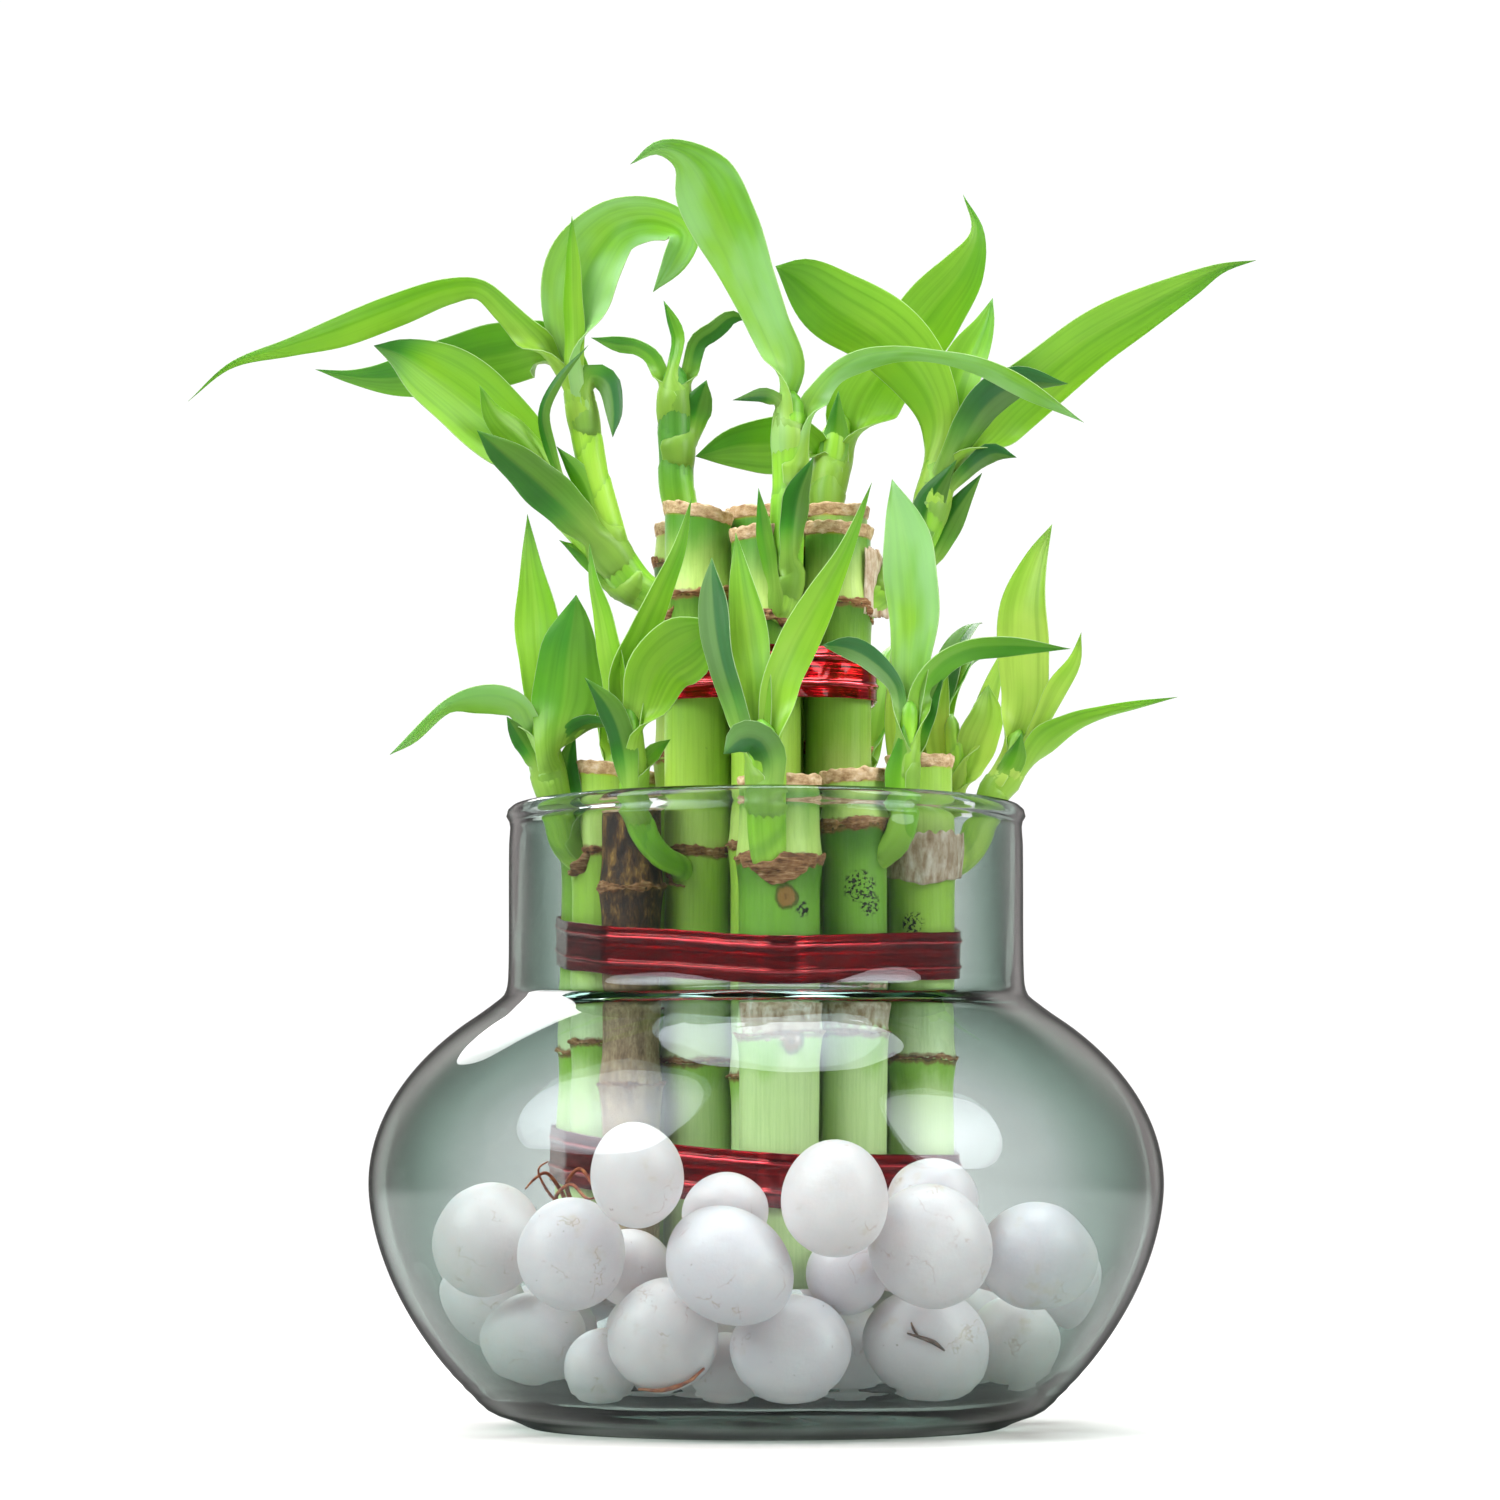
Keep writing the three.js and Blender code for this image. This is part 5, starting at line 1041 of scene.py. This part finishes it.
shortShoots = {
    1: [
        ("limeStem", -5, -9, 0, [(-33, 109, 2.4), (-37, 112, 3), (-39.5, 120, 3), (-41.5, 128, 2.9),
            (-42, 137, 2)]),
        ("lime", -9, -6, 20, [(-41.8, 131, 2.2), (-42.5, 147, 4), (-43, 156, 4), (-44.3, 166, 1.8),
            (-45, 174.7, 0)]),
        ("mid", -11, -15, 15, [(-41.2, 129, 2.6), (-38.2, 140, 6.4), (-37.2, 149, 5.6), (-36.2, 155.5, 2.6),
            (-35.8, 159.5, 0)]),
        ("sheen", -9, -14, 40, [(-41.8, 131, 2), (-46, 138, 2.3), (-50, 140, 3), (-55, 140.2, 2.6),
            (-60, 138.8, 1.3), (-67, 132.3, 0.9), (-71, 129.3, 0)]),
        ("dark", -10, -12, 0, [(-42, 127, 1.8), (-47, 133.5, 1.6), (-48.9, 136.5, 0)]),
        ("mid", -7, 1, -20, [(-41.5, 131, 2), (-36, 139, 3.5), (-31, 146, 2.4), (-29.5, 150.5, 0)]),
        ("dark", -10, -14, -30, [(-41, 130, 1.8), (-34, 135.2, 1.6), (-28, 134.8, 0)]),
        ("dark", -7, -6, 0, [(-38, 116, 2), (-37.5, 127, 2.1), (-36, 133.5, 0)]),
    ],
    3: [
        ("midStem", -34, -37.5, 0, [(1.2, 107.5, 2.8), (0.4, 112.5, 3.6), (0, 124, 3.6), (-1, 136, 2.2)]),
        ("teal", -37, -33, 30, [(-1, 129, 2), (-5.5, 138, 2.1), (-8, 146, 2.6), (-9.4, 153, 3), (-10, 160, 2.2),
            (-10.2, 166.5, 0)]),
        ("lime", -36.5, -30, 10, [(-1, 129, 2.6), (-2, 142, 3.3), (-3, 151, 3.6), (-4.3, 160, 2.7),
            (-5.7, 171.2, 0)]),
        ("lime", -36.5, -28, -20, [(-0.5, 129, 2.4), (2.5, 142, 3.6), (5.5, 150, 3.8), (10, 158.5, 3),
            (15, 168, 1.6), (20, 180.7, 0)]),
        ("teal", -38.5, -45, 10, [(0.8, 124.5, 2.6), (0.6, 129.2, 3.1), (-1.4, 132.2, 3.2), (-4.6, 132.4, 2.9),
            (-8, 129.4, 0)]),
    ],
    4: [
        ("midStem", 0, 0, 0, [(17.5, 108.5, 2, -21.5), (22, 110.5, 2.4, -23.5), (25.6, 115, 2.5, -24.8),
            (26.2, 125, 2.5, -25), (27, 140, 1.7, -25)]),
        ("sheen", -25, -21, 10, [(26.8, 134, 2), (27.5, 148, 3.8), (28, 158, 5), (27, 168, 4.8), (25.5, 175, 2.9),
            (23.8, 181.3, 0)]),
        ("teal", -26, -27, -20, [(26.6, 133, 1.6), (24.5, 142, 1.5), (20, 147, 2.2), (15.5, 149.3, 2.1),
            (10.5, 150, 0)]),
        ("mid", -25, -22, -45, [(26.8, 132, 1.6), (29, 141, 2.1), (32.5, 146.3, 2.2), (38, 149.3, 2.2),
            (45, 150, 1.9), (57.5, 149.3, 0)]),
        ("dark", -24.5, -22, 0, [(26.6, 129, 1.8), (31, 139, 1.6), (33.8, 145.5, 0)]),
        ("mid", -26, -28, 0, [(25.6, 117, 2), (25.4, 126, 2.8), (26, 135, 0)]),
    ],
    5: [
        ("paleStem", 0, 0, 0, [(30.5, 107.5, 2.4, -10), (36, 109.5, 2.9, -8), (40, 114, 3, -6),
            (41.9, 118.5, 2.7, -4.5), (42.8, 121.8, 2.7, -4), (45.6, 125.5, 2.8, -3.5), (48, 134, 1.9, -3)]),
        ("pale", -3, 2, 15, [(47.2, 127, 2.1), (48.5, 137, 4.2), (48.8, 148, 4.7), (48.8, 158, 4.2),
            (51, 166, 2.3), (54, 172.8, 0)]),
        ("pale", -3.5, -7, -30, [(47.6, 129, 1.8), (51.5, 134.5, 1.7), (55, 141.5, 2), (58.3, 147, 1.2),
            (59.5, 152.4, 0)]),
        ("lime", -4, -9, -40, [(46.5, 125.5, 2.2), (52.5, 131.5, 2.8), (58, 135.3, 1.9), (63, 137, 1.2),
            (70, 138.6, 0.8), (77.7, 140.2, 0)]),
        ("mid", -5.5, -7, 0, [(44.6, 124.5, 1.9), (46.8, 128, 2.2), (48.3, 133.5, 0)]),
    ],
    6: [
        ("paleStem", 0, 0, 0, [(30.5, 110, 1.8, 4), (34, 117, 2.1, 6), (35.5, 126, 2, 7), (35, 137, 1.3, 8)]),
        ("pale", 7, 9, -20, [(35.2, 123, 1.8), (39, 130, 3.5), (41.5, 137, 3.2), (42, 142.5, 0)]),
        ("pale", 7, 10, 20, [(35.4, 125, 1.8), (32.5, 134, 2.5), (34.3, 145.5, 0)]),
        ("pale", 7, 12, -30, [(35.2, 128, 1.6), (41, 138, 2), (46, 152, 0)]),
        ("pale", 4.5, 7, 0, [(32, 113, 1.6), (26, 124, 2.1), (24.4, 138, 1.9), (24.6, 155, 0)]),
    ],
}


# A drawn shoot: its stems first, then each leaf on the stem that is nearest to its base
def drawnShoot(lines, cane, seed):
    stems, bodies = [], []
    for i, (kind, base, tip, roll, points) in enumerate(lines):
        knots = drawnKnots(base, tip, points)
        if kind.endswith("Stem"):
            path, length = smoothPath(knots, max(12, int(runLength(knots)[-1] / stem["step"])))
            stems.append(path)
            bodies.append(stemBody(kind, path, length, seed + i))
    for i, (kind, base, tip, roll, points) in enumerate(lines):
        if not kind.endswith("Stem"):
            knots = drawnKnots(base, tip, points)
            axis = min(stems, key=lambda path: np.linalg.norm(path[:, :3] - knots[0, :3], axis=1).min())
            bodies.append(leafBody(kind, knots, axis, None, math.radians(roll), seed + i))
    onCane = [path for path in stems if np.linalg.norm(path[0, :2] - cane[:2]) < cane[2] + 5]
    return bodies, [footHusk(path, seed + 60 + i) for i, path in enumerate(onCane)]


# Shoots that lean back, by one rule: (short cane, foot height, azimuth, reach, rise, leaves, seed)
backShoots = [(7, 112, 40, 20, 46, 3, 11), (8, 110, 62, 34, 50, 3, 12), (9, 108, 88, 36, 54, 3, 13),
              (10, 112, 114, 34, 50, 3, 14), (11, 110, 134, 24, 48, 3, 15)]
backTallShoot = (5, 151, 92, 26, 24, 3, 16)
back = {"stemRadius": 2.6, "stemTaper": 0.3, "stemLength": 19, "lean": 5, "spread": 9, "halfWidth": 4, "arch": 1.5,
        "kinds": ("mid", "lime", "dark")}


# Repeatable draws between 0 and 1 from one seed, the same as the solids use
def drawsFrom(seed):
    state = seed * 2654435761 % 4294967296
    while True:
        state = (state * 1664525 + 1013904223) % 4294967296
        yield state / 4294967296


# Back shoot: a stem that leans out, and leaves fanned about its azimuth that rise and arch over. A leaf's
# height is the arch times its rise times t - t^3/3, and its reach grows as t^1.4.
def backShoot(cane, rule, seed):
    _, foot, azimuth, reach, rise, count, own = rule
    draw = drawsFrom(own)

    def outward(degrees):
        angle = math.radians(degrees)
        return np.array([math.cos(angle), math.sin(angle), 0.0])

    start = np.array([cane[0], cane[1], foot]) + outward(azimuth) * (cane[2] - 2)
    end = start + outward(azimuth) * back["lean"] + np.array([0, 0, back["stemLength"]])
    t = np.linspace(0, 1, 20)[:, None]
    path = np.hstack([start + (end - start) * t, back["stemRadius"] * (1 - back["stemTaper"] * t)])
    bodies = [stemBody("midStem", path, back["stemLength"], seed)]
    for i in range(count):
        way = outward(azimuth + back["spread"] * (2 * i / (count - 1) - 1))
        far = reach * (0.45 + 0.5 * next(draw))
        high = (rise - back["stemLength"]) * (0.75 + 0.25 * next(draw))
        root = start + (end - start) * (0.72 + 0.07 * i)
        t = np.linspace(0, 1, 12)[:, None]
        middle = root + way * far * t ** 1.4 + np.array([0, 0, 1]) * back["arch"] * high * (t - t ** 3 / 3)
        wide = np.maximum(back["halfWidth"] * (0.5 + 1.9 * t - 2.4 * t ** 2), 0.03)
        knots = np.hstack([middle, wide])
        bodies.append(leafBody(back["kinds"][i % 3], knots, path, (0.0, 0.0, 1.0), 0.0, seed + 1 + i))
    return bodies


def makeShoots(blade, stalk, husk):
    made = 0
    for kind, rows, drawn in (("tall", tallCanes, tallShoots), ("short", shortCanes, shortShoots)):
        rules = {rule[0]: rule for rule in ([backTallShoot] if kind == "tall" else backShoots)}
        for number, cane in enumerate(rows):
            node = caneNode(kind, number)
            seed = number * 40 + (0 if kind == "tall" else 1000)
            bodies, feet = drawnShoot(drawn.get(number, []), cane, seed)
            if number in rules:
                bodies += backShoot(cane, rules[number], seed)
            for body in bodies:
                body["material"] = int("lap" in body["marks"])
                body["marks"].setdefault("lap", np.full((len(body["points"]), 1), 9.0))
            if bodies:
                addPiece(f"{kind}CaneShoots{number:02d}", bodies, [blade, stalk], [node])
                made += len(bodies)
            if feet:
                addPiece(f"{kind}ShootFeet{number:02d}", feet, [husk], [node])
    print("leaves and stems:", made)


# Torn ring round the foot of a shoot: the same band as on a cane, but carried on the stem's own axis
def footHusk(path, seed):
    run = runLength(path)
    turn = fullTurn(72)[:, None]
    x, y, z, radius = (np.interp(1.9, run, column) for column in path.T)
    ahead = unit(path[3, :3] - path[0, :3])
    side = unit(np.cross(ahead, [0.0, 1.0, 0.0]))
    front = np.cross(ahead, side)
    tall = np.maximum(0.25, 0.9 + 1.5 * unevenTurn(turn, seed, (1, 2, 4, 7)))
    lip = np.maximum(0.1, 0.35 + 0.6 * unevenTurn(turn, seed + 1, (3, 8, 13)))
    out = radius * 1.12 + np.array([0.1, 0.4, 0.5, 0.45, 0.3, 0.0])
    out = out + lip * np.array([0.0, 0.3, 0.9, 1.2, 1.0, 0.1])
    rise = tall * np.array([-1.1, -0.7, 0.2, 1.0, 1.1, 0.1]) - 0.4
    round_ = out[..., None] * (np.cos(turn)[..., None] * side + np.sin(turn)[..., None] * front)
    grid = np.array([x, y, z]) + round_ + rise[..., None] * ahead
    return facesOutward(closedRing(grid))


# Torn husk on the face of a cane: a patch between two headings, whose lower edge hangs in points
huskThickness = 0.35
huskPatches = {
    "budHusk": {"cane": ("short", 3), "from": -148, "to": -34, "top": 110.6, "bottom": 108.2,
                "point": 3.2, "seed": 3, "papery": False},
    "sideHusk": {"cane": ("short", 5), "from": -178, "to": 6, "top": 114.2, "bottom": 106.6,
                 "point": 1.6, "seed": 8, "out": 1.25},
    "lowHusk": {"cane": ("short", 3), "from": -150, "to": -22, "top": 83.4, "bottom": 75.2,
                "point": 0.9, "seed": 12},
    "lowHuskRight": {"cane": ("short", 4), "from": -160, "to": -15, "top": 84.6, "bottom": 75.4,
                     "point": -1.0, "seed": 15},
    "barkEdge": {"cane": ("tall", 4), "from": -44, "to": 10, "top": 168.6, "bottom": 156.2,
                 "point": 0.4, "seed": 5, "flare": 3.0},
}


def makeHusks(husk, paper):
    for name, spec in huskPatches.items():
        kind, number = spec["cane"]
        cane = (tallCanes if kind == "tall" else shortCanes)[number]
        share = np.linspace(0, 1, 60)[:, None]
        down = np.linspace(0, 1, 18)[None]
        heading = np.radians(spec["from"] + (spec["to"] - spec["from"]) * share)
        topLevel, bottomLevel = (heightSeen(cane[0], spec[end], cane[1] - cane[2]) for end in ("top", "bottom"))
        top = topLevel + 0.7 * unevenTurn(share * 6.28, spec["seed"], (2, 5, 11))
        hang = spec["point"] * np.sin(math.pi * share) ** 2
        hang = hang + 0.35 * unevenTurn(share * 6.28, spec["seed"] + 1, (2, 3, 7))
        height = top + (bottomLevel - hang - top) * down
        out = cane[2] + spec.get("out", 0.55) + 0.35 * np.sin(3.1 * down + 1.0)
        out = out + 0.12 * np.sin(share * 41) * down
        out = out + spec.get("flare", 0.0) * share ** 2 * (0.3 + 0.7 * down + 0.15 * np.sin(9 * down))
        sheet = turned(cane[0], cane[1], out, heading, height)
        inward = turned(0, 0, -huskThickness, heading, 0 * height)
        grid = np.concatenate([sheet, (sheet + inward)[:, ::-1]], 1)
        look = paper if spec.get("papery", True) else husk
        addPiece(name, [facesOutward(closedBody(grid))], [look], [caneNode(kind, number)])
    print("husks:", len(huskPatches))


# Roots as drawn: points (x, z, depth, radius)
rootPaths = [
    [(-37, 44, -6, 0.4), (-38.5, 47.5, -10, 0.36), (-41, 50.3, -13, 0.3), (-43.5, 49.2, -15, 0.26),
     (-45.4, 47.4, -16, 0.15)],
    [(-36, 43.5, -7, 0.4), (-37.2, 48.5, -12, 0.38), (-35, 51, -15, 0.3), (-32.6, 48, -18, 0.3),
     (-31, 45.6, -20, 0.15)],
    [(-37.5, 43, -8, 0.4), (-39, 46, -14, 0.34), (-36.5, 48.2, -18, 0.3), (-33.4, 45.4, -22, 0.26),
     (-30.6, 46.4, -24, 0.12)],
    [(-38, 44, -8, 0.32), (-41, 47.5, -14, 0.28), (-42.6, 51, -16, 0.2), (-40.6, 52.4, -17, 0.12)],
]
# A root and a forked twig that lie on the pebbles: points (x, z, radius)
lowRoot = [(-23.6, 10.6, 0.2), (-19, 10.4, 0.34), (-14.8, 11.6, 0.36), (-11.4, 14.2, 0.2)]
twigPaths = [
    [(26.4, 20.4, 0.16), (29.2, 19.6, 0.34), (31.4, 18.8, 0.42), (33.2, 17.4, 0.16)],
    [(28.6, 19.7, 0.16), (27.6, 21.2, 0.26), (27.2, 22.4, 0.12)],
]
fibreColours = {
    "Orange root": [(0.3, "#5e2410"), (0.5, "#96441f"), (0.7, "#bd7440")],
    "Dry twig": [(0.3, "#2f1c11"), (0.5, "#5a3824"), (0.7, "#8a6446")],
}


# Tube: circles square to a path, each with the radius that the path has there
def tubeBody(knots, around=10, step=0.6):
    path, _ = smoothPath(knots, max(8, int(runLength(np.array(knots))[-1] / step)))
    ahead = unit(np.gradient(path[:, :3], axis=0))
    side = unit(np.cross(ahead, [0.31, 0.9, 0.29]))
    front = np.cross(ahead, side)
    turn = fullTurn(around)[None, :, None]
    way = np.cos(turn) * side[:, None] + np.sin(turn) * front[:, None]
    return facesOutward(closedBody(path[:, None, :3] + path[:, None, 3:4] * way))


# Where the sight line to a drawn point first meets a pebble: a straight line against each ball, in the
# ball's own measure, where its radius is 1
def onPebble(x, z):
    look = sighted(x, z, 0.0)[0] - eye
    hits = []
    for name in pebbleNodes():
        middle, axes = pebbleForm(name)
        start, ray = np.linalg.solve(axes, eye - middle), np.linalg.solve(axes, look)
        a, b, c = ray @ ray, start @ ray, start @ start - 0.9
        if b * b > a * c:
            hits.append((-b - math.sqrt(b * b - a * c)) / a)
    return eye + look * (min(hits) if hits else 1.0)


# Root or twig: thin brown fibre, dull and finely grained
def fibreLook(name):
    material, tree = newMaterial(name)
    grain = noiseOf(tree, placeInMm(tree), (0.8, 0.8, 0.8), detail=4)
    colour = colourRamp(tree, grain, fibreColours[name])
    inputs = {"Base Color": colour, "Roughness": 0.6, "Normal": bumpOf(tree, grain, 0.2)}
    toOutput(tree, addNode(tree, "BsdfPrincipled", inputs=inputs).outputs[0])
    return material


def makeRoots():
    def hanging(line):
        return tubeBody(np.array([np.append(sighted(x, z, depth)[0], radius) for x, z, depth, radius in line]))

    def lying(line):
        return tubeBody(np.array([np.append(onPebble(x, z), radius) for x, z, radius in line]))

    roots = [hanging(line) for line in rootPaths] + [lying(lowRoot)]
    twigs = [lying(line) for line in twigPaths]
    addPiece("orangeRoots", roots, [fibreLook("Orange root")], ())
    addPiece("twig", twigs, [fibreLook("Dry twig")], ())
    print("roots and twigs:", len(roots) + len(twigs))


stage = {"floorRadius": 1.2, "bend": 0.75, "wallTop": 3.2, "below": 0.0002, "around": 128, "colour": "#c9c5c3",
         "sky": "#f5f7ff", "skyStrength": 0.36, "wallGlow": 1.05}
lamps = {
    "leftWindow": {"at": (-1.15, -0.8, 1.3), "size": (1.6, 1.9), "power": 15, "spread": 75, "colour": "#fbfdff"},
    "rightWindow": {"at": (1.25, -0.75, 0.95), "size": (0.8, 1.4), "power": 5, "spread": 75, "colour": "#ffffff"},
    "overhead": {"at": (0.1, 0.1, 1.7), "size": (1.2, 1.2), "power": 10.5, "spread": 95, "colour": "#f5faff"},
    "behind": {"at": (-0.4, 1.2, 1.0), "size": (1.2, 0.6), "power": 3, "spread": 80, "colour": "#ffffff"},
    "backdrop": {"at": (0.0, 0.95, 1.15), "to": (0.0, 1.95, 0.3), "size": (1.8, 0.5), "power": 24, "spread": 150,
                 "colour": "#ffffff"},
}


# Round studio floor whose edge curves up into a wall, so that every side has the same pale ground. To the
# camera the paper fades to even white from half a metre out, which lights nothing.
def makeStage():
    bend = np.radians(np.linspace(0, 90, 14))
    reach = stage["floorRadius"]
    profile = [(0.001, 0), (0.3, 0), (0.9, 0), (reach, 0)]
    profile += [(reach + stage["bend"] * math.sin(a), stage["bend"] * (1 - math.cos(a))) for a in bend[1:]]
    profile += [(reach + stage["bend"], stage["wallTop"])]
    radius, height = np.array(profile).T[:, :, None]
    grid = turned(0, 0, radius, fullTurn(stage["around"]), height - stage["below"])
    mesh = bpy.data.meshes.new("studioGround")
    mesh.from_pydata(grid.reshape(-1, 3), [], gridFaces(len(profile), stage["around"]))
    mesh.polygons.foreach_set("use_smooth", [True] * len(mesh.polygons))
    material, tree = newMaterial("Pale studio paper")
    inputs = {"Base Color": hexToLinear(stage["colour"]), "Roughness": 0.9}
    paper = addNode(tree, "BsdfPrincipled", inputs=inputs).outputs[0]
    glow = {"Color": hexToLinear("#ffffff"), "Strength": stage["wallGlow"]}
    lit = addNode(tree, "Emission", inputs=glow).outputs[0]
    away = addNode(tree, "VectorMath", {"operation": "LENGTH"}, {0: placeInMm(tree)}).outputs["Value"]
    seen = addNode(tree, "LightPath").outputs["Is Camera Ray"]
    share = math2(tree, "MULTIPLY", seen, easeStep(tree, away, 500.0, 1000.0))
    toOutput(tree, addNode(tree, "MixShader", inputs={0: share, 1: paper, 2: lit}).outputs[0])
    mesh.materials.append(material)
    linkedObject("studioGround", mesh)


def makeLight():
    for name, spec in lamps.items():
        lamp = bpy.data.lights.new(name, "AREA")
        lamp.shape = "ELLIPSE"
        lamp.size, lamp.size_y = spec["size"]
        lamp.energy = spec["power"]
        lamp.spread = math.radians(spec["spread"])
        lamp.color = hexToLinear(spec["colour"])[:3]
        holder = linkedObject(name, lamp)
        holder.location = spec["at"]
        way = Vector(spec.get("to", (0, 0, 0.12))) - holder.location
        holder.rotation_euler = way.to_track_quat("-Z", "Y").to_euler()
    world = bpy.data.worlds.new("Studio air")
    world.use_nodes = True
    world.node_tree.nodes["Background"].inputs[0].default_value = hexToLinear(stage["sky"])
    world.node_tree.nodes["Background"].inputs[1].default_value = stage["skyStrength"]
    bpy.context.scene.world = world


camera = {"framePixels": 1500, "sensorMm": 36.0}


# Camera at the eye. Its lens follows from the scale of the drawing and the distance to the point aimed at.
def makeCamera():
    view = bpy.data.cameras.new("Camera")
    view.sensor_width = camera["sensorMm"]
    view.lens = pixelsPerMm * float(np.linalg.norm(aim - eye)) / camera["framePixels"] * view.sensor_width
    holder = linkedObject("Camera", view)
    holder.location = Vector(eye * metresPerMm)
    holder.rotation_euler = Vector(aim - eye).to_track_quat("-Z", "Y").to_euler()
    bpy.context.scene.camera = holder


huskLook, paperLook, cutLook = (dryFibre(name) for name in dryLooks)
makeBowl(clearGlass())
makeCanes(caneGreen(), caneBrown(), huskLook, cutLook)
foil = redFoil()
for ribbonName in ribbons:
    makeRibbon(ribbonName, foil)
makePebbles(milkyQuartz())
makeShoots(leafGreen(), stemGreen(), huskLook)
makeHusks(huskLook, paperLook)
makeRoots()
makeStage()
makeLight()
makeCamera()

scene = bpy.context.scene
scene.view_settings.view_transform = "Standard"
scene.view_settings.look = "None"
scene.view_settings.exposure = 0.0
scene.cycles.max_bounces = 12
scene.cycles.transmission_bounces = 10
scene.cycles.transparent_max_bounces = 12
